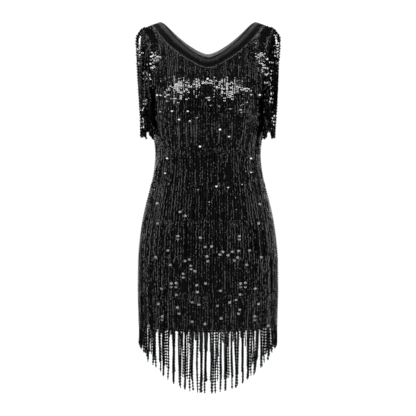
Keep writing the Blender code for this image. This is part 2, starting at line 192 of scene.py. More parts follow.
# Gaps between the bunches of hem strings, measured where the white shows between them: centre at the front,
# and half width at mid length
HemGap = namedtuple("HemGap", "x half")
HEM_GAPS = [
    HemGap(-0.1448, 0.0014), HemGap(-0.1259, 0.0026), HemGap(-0.1095, 0.0014), HemGap(-0.0919, 0.0030),
    HemGap(-0.0793, 0.0038), HemGap(-0.0642, 0.0018), HemGap(-0.0504, 0.0022), HemGap(-0.0340, 0.0026),
    HemGap(-0.0214, 0.0016), HemGap(-0.0025, 0.0022), HemGap(0.0050, 0.0014), HemGap(0.0403, 0.0018),
    HemGap(0.0516, 0.0020), HemGap(0.0650, 0.0020), HemGap(0.0813, 0.0040), HemGap(0.0932, 0.0028),
    HemGap(0.1120, 0.0014), HemGap(0.1284, 0.0032), HemGap(0.1473, 0.0014), HemGap(0.1674, 0.0014),
]
UPPER_TIERS = 4             # these are joined in one piece, and the rest in another
YOKE_STRING_TOP = -0.052    # beside the neck trim the strings start this low
YOKE_STRING_HALF = 0.146

CAMERA_PLACE = (0.0, -3.5, -0.482)
KEY_PLACE = (0.0, -1.14, 1.76)

# Large bright sequins on the front
Spot = namedtuple("Spot", "x z")
FRONT_PAILLETTES = [
    Spot(-0.126, -0.194), Spot(0.128, -0.194), Spot(-0.001, -0.158), Spot(0.007, -0.226),
    Spot(-0.088, -0.237), Spot(-0.050, -0.239), Spot(-0.071, -0.258), Spot(-0.028, -0.255),
    Spot(-0.045, -0.263), Spot(0.030, -0.283), Spot(-0.020, -0.326), Spot(0.052, -0.300),
    Spot(-0.106, -0.393), Spot(0.106, -0.393), Spot(-0.100, -0.356), Spot(0.106, -0.356),
    Spot(0.021, -0.428), Spot(0.050, -0.430),
]
# Larger ones lower down, with a frosted face whose grey is a painted sheen
FRONT_PAINTED_SHEEN = [
    Spot(-0.1259, -0.4710), Spot(0.1284, -0.4730), Spot(-0.0695, -0.4921), Spot(-0.0564, -0.5022),
    Spot(-0.1249, -0.5213), Spot(0.1259, -0.5213), Spot(-0.0745, -0.5526), Spot(-0.0745, -0.5606),
    Spot(0.0781, -0.5531), Spot(0.0781, -0.5606), Spot(-0.0191, -0.5566), Spot(-0.0071, -0.5798),
    Spot(0.0091, -0.5787), Spot(-0.0992, -0.5893), Spot(0.1027, -0.5893), Spot(0.0292, -0.5984),
    Spot(0.0368, -0.5923), Spot(0.0494, -0.6009), Spot(0.0604, -0.5918), Spot(0.0756, -0.5903),
    Spot(-0.1299, -0.6069), Spot(0.1320, -0.6069), Spot(-0.0569, -0.6150), Spot(-0.0458, -0.6115),
    Spot(0.0655, -0.6145), Spot(0.0730, -0.6069), Spot(-0.0025, -0.6034), Spot(-0.0010, -0.6155),
    Spot(-0.0428, -0.6271), Spot(-0.0418, -0.6352), Spot(-0.0322, -0.6407), Spot(-0.0932, -0.6256),
    Spot(0.0957, -0.6256), Spot(-0.0614, -0.6472), Spot(-0.0614, -0.6563), Spot(-0.0907, -0.6719),
    Spot(-0.0907, -0.6805), Spot(-0.0791, -0.6709), Spot(-0.0791, -0.6810), Spot(0.0806, -0.6719),
    Spot(0.0806, -0.6805), Spot(0.0922, -0.6709), Spot(0.0922, -0.6810), Spot(-0.1148, -0.6860),
    Spot(0.1169, -0.6855), Spot(-0.0277, -0.6760), Spot(-0.0060, -0.6714), Spot(0.0312, -0.6901),
    Spot(-0.0262, -0.6931), Spot(-0.0781, -0.7001), Spot(0.0791, -0.6996), Spot(0.0695, -0.7132),
    Spot(0.0539, -0.7193), Spot(-0.1229, -0.7248), Spot(0.1249, -0.7248), Spot(-0.0393, -0.7188),
    Spot(-0.0227, -0.7243), Spot(0.0232, -0.7278), Spot(-0.0756, -0.7324), Spot(-0.0715, -0.7480),
    Spot(0.0781, -0.7379), Spot(0.0756, -0.7480), Spot(-0.1133, -0.7560), Spot(-0.1133, -0.7646),
    Spot(0.1158, -0.7560), Spot(0.1158, -0.7646), Spot(-0.0393, -0.7676), Spot(0.0327, -0.7591),
    Spot(-0.0076, -0.7732), Spot(-0.1481, -0.7822), Spot(0.1501, -0.7817),
]
BACK_PAILLETTES = 22
BACK_PAINTED_SHEEN = 60

# Patches where the strings lie turned to the light: centre, reach, share turned, and how far
# past the light they are turned, in radians
Patch = namedtuple("Patch", "x z reach_x reach_z share past", defaults=[0.0])
PATCHES = [
    Patch(-0.107, -0.198, 0.010, 0.004, 0.85),
    Patch(-0.107, -0.186, 0.004, 0.008, 0.50),
    Patch(-0.096, -0.182, 0.005, 0.007, 0.70),
    Patch(-0.087, -0.184, 0.004, 0.020, 0.80),
    Patch(-0.075, -0.176, 0.010, 0.012, 0.85),
    Patch(-0.069, -0.190, 0.003, 0.018, 0.75),
    Patch(-0.052, -0.179, 0.004, 0.014, 0.85),
    Patch(-0.048, -0.176, 0.006, 0.003, 0.60),
    Patch(-0.028, -0.168, 0.006, 0.010, 0.60),
    Patch(-0.003, -0.166, 0.012, 0.005, 0.75),
    Patch(-0.001, -0.206, 0.006, 0.006, 0.80),
    Patch(-0.049, -0.209, 0.007, 0.003, 0.75),
    Patch(0.022, -0.180, 0.006, 0.006, 0.75),
    Patch(0.031, -0.168, 0.005, 0.008, 0.60),
    Patch(0.038, -0.196, 0.003, 0.020, 0.80),
    Patch(0.050, -0.182, 0.004, 0.016, 0.85),
    Patch(0.060, -0.188, 0.005, 0.022, 0.80),
    Patch(0.058, -0.202, 0.008, 0.004, 0.70),
    Patch(0.073, -0.186, 0.004, 0.014, 0.85),
    Patch(0.084, -0.176, 0.004, 0.008, 0.45),
    Patch(0.098, -0.180, 0.006, 0.008, 0.45),
    Patch(0.110, -0.192, 0.005, 0.012, 0.45, 0.05),
    Patch(-0.090, -0.222, 0.030, 0.016, 0.08, 0.05),
    Patch(0.070, -0.226, 0.036, 0.016, 0.06, 0.05),
]
# The same on the left and the right, beside the armholes and on the sleeve fringe
ARM_PATCHES = [
    Patch(0.136, -0.098, 0.012, 0.012, 0.80, 0.050),
    Patch(0.142, -0.122, 0.009, 0.012, 0.45, 0.050),
    Patch(0.154, -0.150, 0.007, 0.022, 0.60, 0.045),
    Patch(0.160, -0.195, 0.006, 0.028, 0.70, 0.045),
    Patch(0.168, -0.255, 0.005, 0.030, 0.65, 0.045),
    Patch(0.181, -0.070, 0.007, 0.040, 0.60, 0.050),
]
PATCHES += [patch._replace(x=end * patch.x) for end in (-1, 1) for patch in ARM_PATCHES]

# Broad places where the strings tip back and look lighter, or forward and look darker
Glow = namedtuple("Glow", "x z reach_x reach_z tilt")
GLOWS = [
    Glow(0.000, -0.720, 0.034, 0.110, 0.08),
    Glow(-0.110, -0.730, 0.045, 0.060, -0.05),
    Glow(0.120, -0.730, 0.030, 0.060, -0.05),
    Glow(0.058, -0.700, 0.024, 0.090, -0.06),
    Glow(0.000, -0.500, 0.070, 0.070, 0.05),
    Glow(-0.020, -0.330, 0.060, 0.060, -0.10),
    Glow(-0.110, -0.300, 0.040, 0.080, 0.04),
    Glow(0.110, -0.300, 0.040, 0.080, 0.03),
]

WIDTH_DROPS = np.array([row.drop for row in WIDTHS])
WIDTH_HALVES = np.array([row.half for row in WIDTHS])
DEPTH_KNOTS = np.sqrt([row.drop for row in DEPTHS])
DEPTH_VALUES = {
    FRONT: np.array([row.front for row in DEPTHS]),
    BACK: np.array([row.back for row in DEPTHS]),
}


def linear(hex_colour):
    """Linear RGB from an sRGB hex colour."""
    channels = [int(hex_colour[i:i + 2], 16) / 255 for i in (1, 3, 5)]
    return tuple(c / 12.92 if c <= 0.04045 else ((c + 0.055) / 1.055) ** 2.4 for c in channels)


# Form of the dress

def mix(a, b, t):
    return a + (b - a) * t


def ease(t):
    t = np.clip(t, 0.0, 1.0)
    return t * t * (3 - 2 * t)


def unit(vectors):
    return vectors / np.linalg.norm(vectors, axis=-1, keepdims=True)


def curve_at(knots, values, at):
    """Values of a smooth curve through the knots."""
    slopes = np.gradient(values, knots)
    i = np.clip(np.searchsorted(knots, at) - 1, 0, len(knots) - 2)
    step = knots[i + 1] - knots[i]
    t = np.clip((at - knots[i]) / step, 0.0, 1.0)
    start = values[i] * (1 + 2 * t) * (1 - t) ** 2 + slopes[i] * step * t * (1 - t) ** 2
    end = values[i + 1] * t * t * (3 - 2 * t) - slopes[i + 1] * step * t * t * (1 - t)
    return start + end


def half_width(z):
    return curve_at(WIDTH_DROPS, WIDTH_HALVES, -np.asarray(z, float))


def armhole_bow(side, z):
    t = np.clip((-z - SHOULDER_FALL) / (ARMHOLE_DEPTH - SHOULDER_FALL), 0.0, 1.0)
    return ARMHOLE_BOW[side] * np.sqrt(4 * t * (1 - t))


def depth_at(side, x, z):
    """Depth of the outer face behind or before the side seams, at a place of the front view."""
    across = np.minimum(np.abs(x) / half_width(z), 1.0)
    follow = ease((z + ARMHOLE_DEPTH) / (ARMHOLE_DEPTH - YOKE_BLEND_DROP))
    seam_height = SHOULDER_SLOPE * (NECK_HALF - np.abs(x)) * follow
    drop = np.maximum(seam_height - z, 0.0)
    centre = curve_at(DEPTH_KNOTS, DEPTH_VALUES[side], np.sqrt(drop))
    round_off = np.sqrt(np.maximum(1 - across ** SECTION_SQUARENESS, 0.0))
    depth = centre * round_off + armhole_bow(side, z) * across ** ARMHOLE_BOW_POWER
    if side == FRONT:
        off_x = (np.abs(x) - DART_CENTRE_X) / DART_REACH_X
        off_z = (z + DART_CENTRE_DROP) / DART_REACH_Z
        depth = depth + DART_FULLNESS * np.exp(-off_x ** 2 - off_z ** 2)
    return depth + SEAM_GAP / 2


def crease_height(side, x, z):
    """Height of the cloth's creases at a place of the front view."""
    height = np.zeros_like(x)
    for crease in CREASES:
        if crease.side != side:
            continue
        angle = radians(crease.angle)
        along = (x - crease.x) * cos(angle) + (z - crease.z) * sin(angle)
        off = (z - crease.z) * cos(angle) - (x - crease.x) * sin(angle)
        fade = np.exp(-(along / crease.half_length) ** 4)
        height += crease.height * fade * np.exp(-(off / crease.width) ** 2)
    return height


def place(side, x, z, lift=0.0):
    """Points on the dress at places of the front view, moved out by the lift, and outward directions."""
    x, z, lift = (np.array(a, float) for a in np.broadcast_arrays(x, z, lift))
    turn = np.arcsin(np.clip(x / half_width(z), -1.0, 1.0))
    small_turn, small_step = 0.02, 0.002

    def at(turn, z):
        across = half_width(z) * np.sin(np.clip(turn, -pi / 2, pi / 2))
        return np.stack([across, side * depth_at(side, across, z), z], axis=-1)

    rightward = at(turn + small_turn, z) - at(turn - small_turn, z)
    downward = at(turn, z - small_step) - at(turn, z + small_step)
    outward = unit(np.cross(downward, rightward) * -side)
    points = at(turn, z) + outward * (lift + crease_height(side, x, z))[..., None]
    points[..., 1] = side * np.maximum(side * points[..., 1], SEAM_GAP / 2)
    return points, outward


def neck_rise(share, curve):
    """How far a line beside the neck edge has risen from its point, from 0 to 1 at the shoulder."""
    soft = NECK_POINT_ROUND ** curve
    rise = (share * share + NECK_POINT_ROUND ** 2) ** (curve / 2) - soft
    full = (1 + NECK_POINT_ROUND ** 2) ** (curve / 2) - soft
    lift = NECK_SHOULDER_LIFT * share ** 8 * (1 - np.abs(share)) * (2 - curve) / (2 - NECK_CURVE)
    return rise / full + lift


def neck_row(side, offset, shares):
    """Front-view places of a line parallel to the neck edge."""
    bottom = -NECK_DROP[side] - offset
    z = mix(bottom, -SHOULDER_SLOPE * offset, neck_rise(shares, NECK_CURVE))
    return (NECK_HALF + offset) * shares, z


def trim_spread(offset, shares):
    """Distance from the neck edge of a line of the trims, which widen halfway up the V."""
    return offset * (1 + TRIM_SPREAD * 4 * shares ** 2 * (1 - shares ** 2))


def yoke_row(side, step, shares):
    """Front-view places of a row that ends on the armhole edge."""
    end_z = mix(-SHOULDER_FALL, -ARMHOLE_DEPTH, (1 - cos(pi * step)) / 2)
    mid_z = mix(-NECK_DROP[side] - TIP_OFFSET, -ARMHOLE_DEPTH, step)
    z = mix(mid_z, end_z, neck_rise(shares, mix(NECK_CURVE, 2, step)))
    return mix(half_width(end_z), half_width(z), step) * shares, z


def hem_z(shares):
    return -mix(HEM_DROP_CENTRE, HEM_DROP_SIDE, shares * shares)


def body_row(side, step, shares):
    """Front-view places of a row below the armholes."""
    z = mix(-ARMHOLE_DEPTH, hem_z(shares), step)
    return half_width(z) * shares, z


def armhole_line(end, count):
    """Points and outward directions along an armhole, from low at the front to low at the back."""
    steps = (1 - np.cos(np.linspace(0, 1, count) * pi / 2))
    drops = mix(SHOULDER_FALL, SLEEVE_LOWEST_DROP, steps)
    front, front_out = place(FRONT, end * half_width(-drops), -drops)
    back, back_out = place(BACK, end * half_width(-drops), -drops)
    edge = np.concatenate([front[:0:-1], [(front[0] + back[0]) / 2], back[1:]])
    outward = np.concatenate([front_out[:0:-1], [front_out[0] + back_out[0]], back_out[1:]])
    return edge, unit(outward)


# Mesh building

def grid_faces(rows, columns, around=False):
    """Quads between the neighbouring points of a grid. around joins the last column to the first."""
    r = np.arange(rows - 1)[:, None]
    c = np.arange(columns if around else columns - 1)[None, :]
    following = (c + 1) % columns
    corners = [r * columns + c, (r + 1) * columns + c, (r + 1) * columns + following, r * columns + following]
    return np.stack(corners, axis=-1).reshape(-1, 4)


class Shape:
    """Points and faces gathered for one mesh. lay holds a pair of numbers for each point."""

    def __init__(self):
        self.points, self.lay, self.faces, self.slots = [], [], [], []
        self.count = 0

    def add(self, points, *face_sets, lay=None):
        points = np.asarray(points, float).reshape(-1, 3)
        for faces in face_sets:
            self.faces.extend((np.asarray(faces) + self.count).tolist())
            self.slots.extend([0] * len(faces))
        self.points.append(points)
        filled = np.zeros((len(points), 3))
        if lay is not None:
            filled[:, :2] = np.asarray(lay, float).reshape(-1, 2)
        self.lay.append(filled)
        self.count += len(points)

    def sweep(self, rings, lay=None, painted_sides=()):
        """A closed body through rings of points, with both ends capped.

        The sides that start at the corners in painted_sides take the next material, which paints light or
        shade on them.
        """
        count, corners = rings.shape[:2]
        last = (count - 1) * corners
        caps = [list(range(corners))[::-1], list(range(last, last + corners))]
        start = len(self.slots)
        self.add(rings, grid_faces(count, corners, around=True), caps, lay=lay)
        for k in range((count - 1) * corners):
            self.slots[start + k] += k % corners in painted_sides

    def build(self, name, materials, smooth=True, closed=True):
        mesh = bpy.data.meshes.new(name)
        mesh.from_pydata(np.concatenate(self.points), [], self.faces)
        for material in materials:
            mesh.materials.append(material)
        mesh.polygons.foreach_set("material_index", self.slots)
        lay = mesh.attributes.new("lay", "FLOAT_VECTOR", "POINT")
        lay.data.foreach_set("vector", np.concatenate(self.lay).ravel())
        if closed:
            turned = bmesh.new()
            turned.from_mesh(mesh)
            bmesh.ops.recalc_face_normals(turned, faces=turned.faces[:])
            turned.to_mesh(mesh)
            turned.free()
        if smooth:
            mesh.shade_smooth()
            mesh.set_sharp_from_angle(angle=radians(50))
        piece = bpy.data.objects.new(name, mesh)
        bpy.context.scene.collection.objects.link(piece)
        return piece


def settle(piece, slot, *replaced):
    """The piece rides on the dress and stands for the nodes. The slot is not used."""
    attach(piece, "root")
    if replaced:
        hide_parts(*replaced)
    return piece


def path_lengths(points):
    return np.concatenate(([0.0], np.cumsum(np.linalg.norm(np.diff(points, axis=0), axis=1))))


def resample(points, places):
    """Points at these lengths along a path."""
    reach = path_lengths(points)
    return np.stack([np.interp(places, reach, points[:, axis]) for axis in range(3)], axis=-1)


def tube_rings(path, across, radius, sides):
    """Rings round a path. across is a direction that no part of the path runs along."""
    along = unit(np.gradient(path, axis=0))
    first = unit(np.cross(along, across))
    second = np.cross(along, first)
    turns = 2 * pi * np.arange(sides) / sides
    round_x, round_y = np.cos(turns)[None, :, None], np.sin(turns)[None, :, None]
    return path[:, None] + radius * (round_x * first[:, None] + round_y * second[:, None])


AIMED_SIZE = 1.3            # of the larger sequins among the others


class Sequins:
    """Cup-shaped sequins gathered along strings."""

    def __init__(self, diameter, cup, corners):
        self.diameter, self.cup, self.corners = diameter, cup, corners
        self.centres, self.facings, self.ups, self.lays, self.sizes = [], [], [], [], []

    def string(self, centres, outward, yaw, tilt, lay, aimed=None, aims=None):
        """Sequins at the centres, whose faces turn from outward by yaw about the string and by tilt upwards.

        The aimed ones face along the aims instead, and are the larger kind.
        """
        up = -unit(np.gradient(centres, axis=0)) if len(centres) > 1 else np.array([[0, 0, 1.0]])
        side = unit(np.cross(up, outward))
        level = np.cross(side, up)
        turned = level * np.cos(yaw)[:, None] + side * np.sin(yaw)[:, None]
        facing = turned * np.cos(tilt)[:, None] + up * np.sin(tilt)[:, None]
        size = np.ones(len(centres))
        if aimed is not None:
            facing = np.where(aimed[:, None], aims, facing)
            size[aimed] = AIMED_SIZE
        self.sizes.append(size)
        self.centres.append(centres)
        self.facings.append(facing)
        self.ups.append(up)
        self.lays.append(lay)

    def add_to(self, shape):
        centres, facing = np.concatenate(self.centres), unit(np.concatenate(self.facings))
        side = unit(np.cross(np.concatenate(self.ups), facing))
        top = np.cross(facing, side)
        turns = 2 * pi * np.arange(self.corners) / self.corners + pi / 2
        radius = np.concatenate(self.sizes)[:, None, None] * self.diameter / 2
        rim = centres[:, None] + radius * np.cos(turns)[None, :, None] * side[:, None]
        rim = rim + radius * np.sin(turns)[None, :, None] * top[:, None]
        hub = centres - facing * self.cup
        points = np.concatenate([hub[:, None], rim], axis=1)
        corner = np.arange(self.corners)
        fan = np.stack([np.zeros_like(corner), corner + 1, (corner + 1) % self.corners + 1], axis=-1)
        starts = np.arange(len(centres)) * (self.corners + 1)
        faces = (starts[:, None, None] + fan[None]).reshape(-1, 3)
        lay = np.repeat(np.concatenate(self.lays), self.corners + 1, axis=0)
        shape.add(points, faces, lay=lay)

    def build(self, name, film, shape=None):
        """The sequins as one mesh, with what the shape already holds."""
        shape = shape or Shape()
        self.add_to(shape)
        return shape.build(name, [film], smooth=False, closed=False)


def bead(shape, centre, radius):
    """A small round bead that closes a string."""
    heights = np.array([1.0, 0.55, -0.55, -1.0])
    widths = np.array([0.25, 0.95, 0.95, 0.25])
    turns = 2 * pi * np.arange(6) / 6
    rings = np.zeros((4, 6, 3))
    rings[..., 0] = widths[:, None] * np.cos(turns)
    rings[..., 1] = widths[:, None] * np.sin(turns)
    rings[..., 2] = heights[:, None]
    shape.sweep(centre + rings * radius)


# Materials

def add_node(tree, kind, inputs=None, to=None, **settings):
    """Add a node with its settings. An input is a value, or an output that is linked to it.

    Its first output is linked to the socket that is named by to.
    """
    node = tree.nodes.new(kind)
    for name, value in settings.items():
        setattr(node, name, value)
    for name, value in (inputs or {}).items():
        if isinstance(value, bpy.types.NodeSocket):
            tree.links.new(value, node.inputs[name])
        else:
            node.inputs[name].default_value = value
    if to is not None:
        tree.links.new(node.outputs[0], to)
    return node


def start_material(name, **values):
    """A material with a Principled shader. Returns it, its node tree and the shader."""
    material = bpy.data.materials.new(name)
    material.use_nodes = True
    tree = material.node_tree
    shader = tree.nodes["Principled BSDF"]
    for key, value in values.items():
        shader.inputs[key.replace("_", " ")].default_value = value
    return material, tree, shader


def shade_base(tree, shader, factor, colour, dark, light):
    """Base colour from a darker to a lighter share of the colour, over a 0 to 1 factor."""
    low = tuple(c * dark for c in colour) + (1.0,)
    high = tuple(c * light for c in colour) + (1.0,)
    blend = add_node(tree, "ShaderNodeMix", data_type="RGBA")
    tree.links.new(factor, blend.inputs["Factor"])
    blend.inputs["A"].default_value = low
    blend.inputs["B"].default_value = high
    tree.links.new(blend.outputs["Result"], shader.inputs["Base Color"])


def vacuum_formed_sequin_film(colour):
    """Glossy PET film pressed into cups: black, with a sharp highlight that breaks up from cup to cup."""
    material, tree, shader = start_material("vacuum_formed_sequin_film", IOR=1.5, Specular_IOR_Level=0.5)
    lay = add_node(tree, "ShaderNodeAttribute", attribute_name="lay")
    parts = add_node(tree, "ShaderNodeSeparateXYZ", {"Vector": lay.outputs["Vector"]})
    shade_base(tree, shader, parts.outputs["X"], colour, 0.6, 2.2)
    # Real scuffs are finer: these are drawn 1.1 mm wide
    scuff = add_node(tree, "ShaderNodeTexNoise", {"Scale": 1 / 0.0011, "Detail": 2.0})
    rough = add_node(
        tree, "ShaderNodeMapRange", {"Value": parts.outputs["Y"], "To Min": 0.04, "To Max": 0.10}
    )
    add_node(
        tree, "ShaderNodeMath", {0: scuff.outputs["Fac"], 1: 0.02, 2: rough.outputs["Result"]},
        shader.inputs["Roughness"], operation="MULTIPLY_ADD",
    )
    relief = {"Strength": 0.12, "Distance": 0.0001, "Height": scuff.outputs["Fac"]}
    add_node(tree, "ShaderNodeBump", relief, shader.inputs["Normal"])
    return material


def frosted_film_painted_sheen(colour):
    """PET film with a frosted face, whose smoke grey is a painted sheen: an even, soft shine that shows from
    all sides.
    """
    material, tree, shader = start_material(
        "frosted_film_painted_sheen", IOR=1.5, Specular_IOR_Level=0.4, Roughness=0.38
    )
    lay = add_node(tree, "ShaderNodeAttribute", attribute_name="lay")
    parts = add_node(tree, "ShaderNodeSeparateXYZ", {"Vector": lay.outputs["Vector"]})
    shade_base(tree, shader, parts.outputs["X"], colour, 0.35, 1.9)
    return material


def sequinned_mesh_cloth(colour):
    """Knitted mesh sewn all over with flat sequins of 3.6 mm: each cell catches the light its own way."""
    material, tree, shader = start_material(
        "sequinned_mesh_cloth", IOR=1.5, Specular_IOR_Level=0.07, Roughness=0.35
    )
    place_at = add_node(tree, "ShaderNodeTexCoord")
    cells = add_node(
        tree, "ShaderNodeTexVoronoi",
        {"Vector": place_at.outputs["Object"], "Scale": 1 / 0.0036, "Randomness": 0.7},
    )
    shade_base(tree, shader, cells.outputs["Distance"], colour, 1.5, 0.2)
    tilt = add_node(
        tree, "ShaderNodeVectorMath", {0: cells.outputs["Color"], 1: (0.5, 0.5, 0.5)}, operation="SUBTRACT"
    )
    soft = add_node(
        tree, "ShaderNodeVectorMath", {0: tilt.outputs["Vector"], "Scale": 0.34}, operation="SCALE"
    )
    geometry = add_node(tree, "ShaderNodeNewGeometry")
    turned = add_node(
        tree, "ShaderNodeVectorMath", {0: soft.outputs["Vector"], 1: geometry.outputs["Normal"]},
        operation="ADD",
    )
    normal = add_node(tree, "ShaderNodeVectorMath", {0: turned.outputs["Vector"]}, operation="NORMALIZE")
    relief = {
        "Strength": 0.6, "Distance": 0.0006, "Height": cells.outputs["Distance"],
        "Normal": normal.outputs["Vector"],
    }
    add_node(tree, "ShaderNodeBump", relief, shader.inputs["Normal"], invert=True)
    return material


def brushed_knit_backing(colour):
    """Wrong side of the knitted mesh, brushed soft: matt, with faint wales."""
    material, tree, shader = start_material(
        "brushed_knit_backing", IOR=1.46, Specular_IOR_Level=0.1, Roughness=0.88, Sheen_Weight=0.08,
        Sheen_Roughness=0.5,
    )
    place_at = add_node(tree, "ShaderNodeTexCoord")
    # Real wales are about 0.8 mm apart: these are drawn three times as coarse
    wales = add_node(
        tree, "ShaderNodeTexWave",
        {"Vector": place_at.outputs["Object"], "Scale": 1 / 0.0075, "Distortion": 1.5, "Detail Scale": 3.0},
        bands_direction="X",
    )
    shade_base(tree, shader, wales.outputs["Fac"], colour, 0.7, 1.4)
    relief = {"Strength": 0.4, "Distance": 0.0003, "Height": wales.outputs["Fac"]}
    add_node(tree, "ShaderNodeBump", relief, shader.inputs["Normal"])
    return material


def bias_cut_satin(name, colour, roughness):
    """Polyester satin, woven with long floats and cut on the bias: a soft streaked sheen along the edge."""
    material, tree, shader = start_material(name, IOR=1.5, Specular_IOR_Level=0.2)
    lay = add_node(tree, "ShaderNodeAttribute", attribute_name="lay")
    stretch = add_node(
        tree, "ShaderNodeMapping", {"Vector": lay.outputs["Vector"], "Rotation": (0, 0, radians(45))}
    )
    # Real floats are about 0.3 mm wide: these are drawn three times as coarse
    floats = add_node(
        tree, "ShaderNodeTexWave",
        {"Vector": stretch.outputs["Vector"], "Scale": 1 / 0.0030, "Distortion": 0.8, "Detail Scale": 2.0},
    )
    pucker = add_node(
        tree, "ShaderNodeTexNoise", {"Vector": lay.outputs["Vector"], "Scale": 1 / 0.009, "Detail": 1.5}
    )
    shade_base(tree, shader, pucker.outputs["Fac"], colour, 0.7, 1.5)
    add_node(
        tree, "ShaderNodeMapRange",
        {"Value": floats.outputs["Fac"], "To Min": roughness, "To Max": roughness + 0.16},
        shader.inputs["Roughness"],
    )
    height = add_node(
        tree, "ShaderNodeMath", {0: pucker.outputs["Fac"], 1: 3.0, 2: floats.outputs["Fac"]},
        operation="MULTIPLY_ADD",
    )
    relief = {"Strength": 0.5, "Distance": 0.0002, "Height": height.outputs["Value"]}
    add_node(tree, "ShaderNodeBump", relief, shader.inputs["Normal"])
    return material


def petersham_tape(colour):
    """Viscose tape woven with a crosswise rib of 1.2 mm: matt and deep black."""
    material, tree, shader = start_material(
        "petersham_tape", IOR=1.46, Specular_IOR_Level=0.06, Roughness=0.85
    )
    lay = add_node(tree, "ShaderNodeAttribute", attribute_name="lay")
    ribs = add_node(
        tree, "ShaderNodeTexWave",
        {"Vector": lay.outputs["Vector"], "Scale": pi / 10 / 0.0012, "Distortion": 0.3},
    )
    shade_base(tree, shader, ribs.outputs["Fac"], colour, 0.5, 1.5)
    relief = {"Strength": 0.8, "Distance": 0.0003, "Height": ribs.outputs["Fac"]}
    add_node(tree, "ShaderNodeBump", relief, shader.inputs["Normal"])
    return material


def twisted_gimp(colour):
    """Narrow cord of twisted rayon: dark grey, with a slanted twist every 2 mm."""
    material, tree, shader = start_material("twisted_gimp", IOR=1.5, Specular_IOR_Level=0.25, Roughness=0.5)
    lay = add_node(tree, "ShaderNodeAttribute", attribute_name="lay")
    slant = add_node(
        tree, "ShaderNodeMapping", {"Vector": lay.outputs["Vector"], "Rotation": (0, 0, radians(35))}
    )
    twist = add_node(
        tree, "ShaderNodeTexWave", {"Vector": slant.outputs["Vector"], "Scale": pi / 10 / 0.0020}
    )
    shade_base(tree, shader, twist.outputs["Fac"], colour, 0.4, 1.4)
    relief = {"Strength": 0.8, "Distance": 0.0004, "Height": twist.outputs["Fac"]}
    add_node(tree, "ShaderNodeBump", relief, shader.inputs["Normal"])
    return material


def spun_polyester_thread(colour):
    """Sewing thread of spun polyester: slightly fuzzy, with a dull shine."""
    material, tree, shader = start_material(
        "spun_polyester_thread", IOR=1.5, Specular_IOR_Level=0.4, Roughness=0.55, Sheen_Weight=0.2
    )
    fuzz = add_node(tree, "ShaderNodeTexNoise", {"Scale": 1 / 0.0008, "Detail": 2.0})
    shade_base(tree, shader, fuzz.outputs["Fac"], colour, 0.6, 1.5)
    return material


def painted_studio_floor(colour):
    """Matt emulsion paint on a smooth floor, rolled on: pale and even."""
    material, tree, shader = start_material(
        "painted_studio_floor", IOR=1.5, Specular_IOR_Level=0.2, Roughness=0.9
    )
    roller = add_node(tree, "ShaderNodeTexNoise", {"Scale": 1 / 0.02, "Detail": 2.0})
    shade_base(tree, shader, roller.outputs["Fac"], colour, 0.995, 1.005)
    return material


# Settings

def length_setting(name, description, default, least=0.0):
    return bpy.props.FloatProperty(
        name=name, description=description, default=default, min=least, subtype="DISTANCE", unit="LENGTH"
    )


def colour_setting(name, description, hex_colour):
    return bpy.props.FloatVectorProperty(
        name=name, description=description, default=linear(hex_colour), size=3, subtype="COLOR", min=0, max=1
    )


class DressSizes(bpy.types.PropertyGroup):
    """Sizes of the sequins, strings and cloth."""

    sequin_diameter: length_setting("Sequin diameter", "Width of a sequin on the strings", 0.0044, 0.002)
    sequin_cup: length_setting("Sequin cup", "How deep a sequin's middle lies under its rim", 0.00018)
    sequin_pitch: length_setting("Sequin pitch", "From one sequin of a string to the next", 0.0033, 0.001)
    fringe_diameter: length_setting(
        "Fringe sequin diameter", "Width of a sequin on the hem and sleeve fringe", 0.0068, 0.002
    )
    fringe_pitch: length_setting(
        "Fringe sequin pitch", "From one sequin of a fringe string to the next", 0.0074, 0.001
    )
    string_spacing: length_setting(
        "String spacing", "From one body string to the next, round the body", 0.0064, 0.002
    )
    string_lift: length_setting("String lift", "How far a body string's middle lies off the cloth", 0.0026)
    hem_sway: length_setting(
        "Hem sway", "How far the longest hem strings wander sideways at their tips", 0.006
    )
    paillette_diameter: length_setting(
        "Paillette diameter", "Width of the large single sequins", 0.0058, 0.003
    )
    cloth_thickness: length_setting("Cloth thickness", "Thickness of the stretch cloth", 0.0010, 0.0005)


class DressColours(bpy.types.PropertyGroup):
    """Colours of the dress's materials and of the floor."""

    sequin: colour_setting("Sequins", "Sequin film", "#040405")
    # A grey that paints the soft sheen of the frosted sequins
    frosted_painted_sheen: colour_setting("Frosted sequins", "Large frosted sequins", "#404044")
    cloth: colour_setting("Cloth", "Sequinned cloth", "#050506")
    backing: colour_setting("Backing", "Inside of the cloth", "#161618")
    satin: colour_setting("Satin", "Bound neck edge", "#1e1e20")
    # A light grey copy of the satin: a painted highlight on the inner side of the back binding
    facing: colour_setting("Facing", "Inner side of the bound edge", "#8e8e92")
    tape: colour_setting("Tape", "Woven neck tape", "#040404")
    gimp: colour_setting("Gimp", "Narrow cord beside the tape", "#505054")
    thread: colour_setting("Thread", "Sewing thread", "#2b2b2e")
    floor: colour_setting("Floor", "Studio floor", "#f7f7f7")


# How the sequins lie on their strings

AIM_SPREAD = 0.02           # of the sequins that are turned to the light


def sequin_turns(rng, count, yaw_spreads, tilt_mean, tilt_spread):
    """Yaw and tilt of the sequins of one string. The string as a whole is turned, and it wanders."""
    start, wander, single = yaw_spreads
    yaw = rng.normal(0, start) + np.cumsum(rng.normal(0, wander, count)) + rng.normal(0, single, count)
    tilt = rng.normal(tilt_mean, tilt_spread, count)
    return yaw, tilt


def light_facing(side, centres):
    """Directions in which a sequin throws the key light straight out of the front, or of the back."""
    mirror = np.array([1.0, -side, 1.0])
    return unit(unit(CAMERA_PLACE * mirror - centres) + unit(KEY_PLACE * mirror - centres))


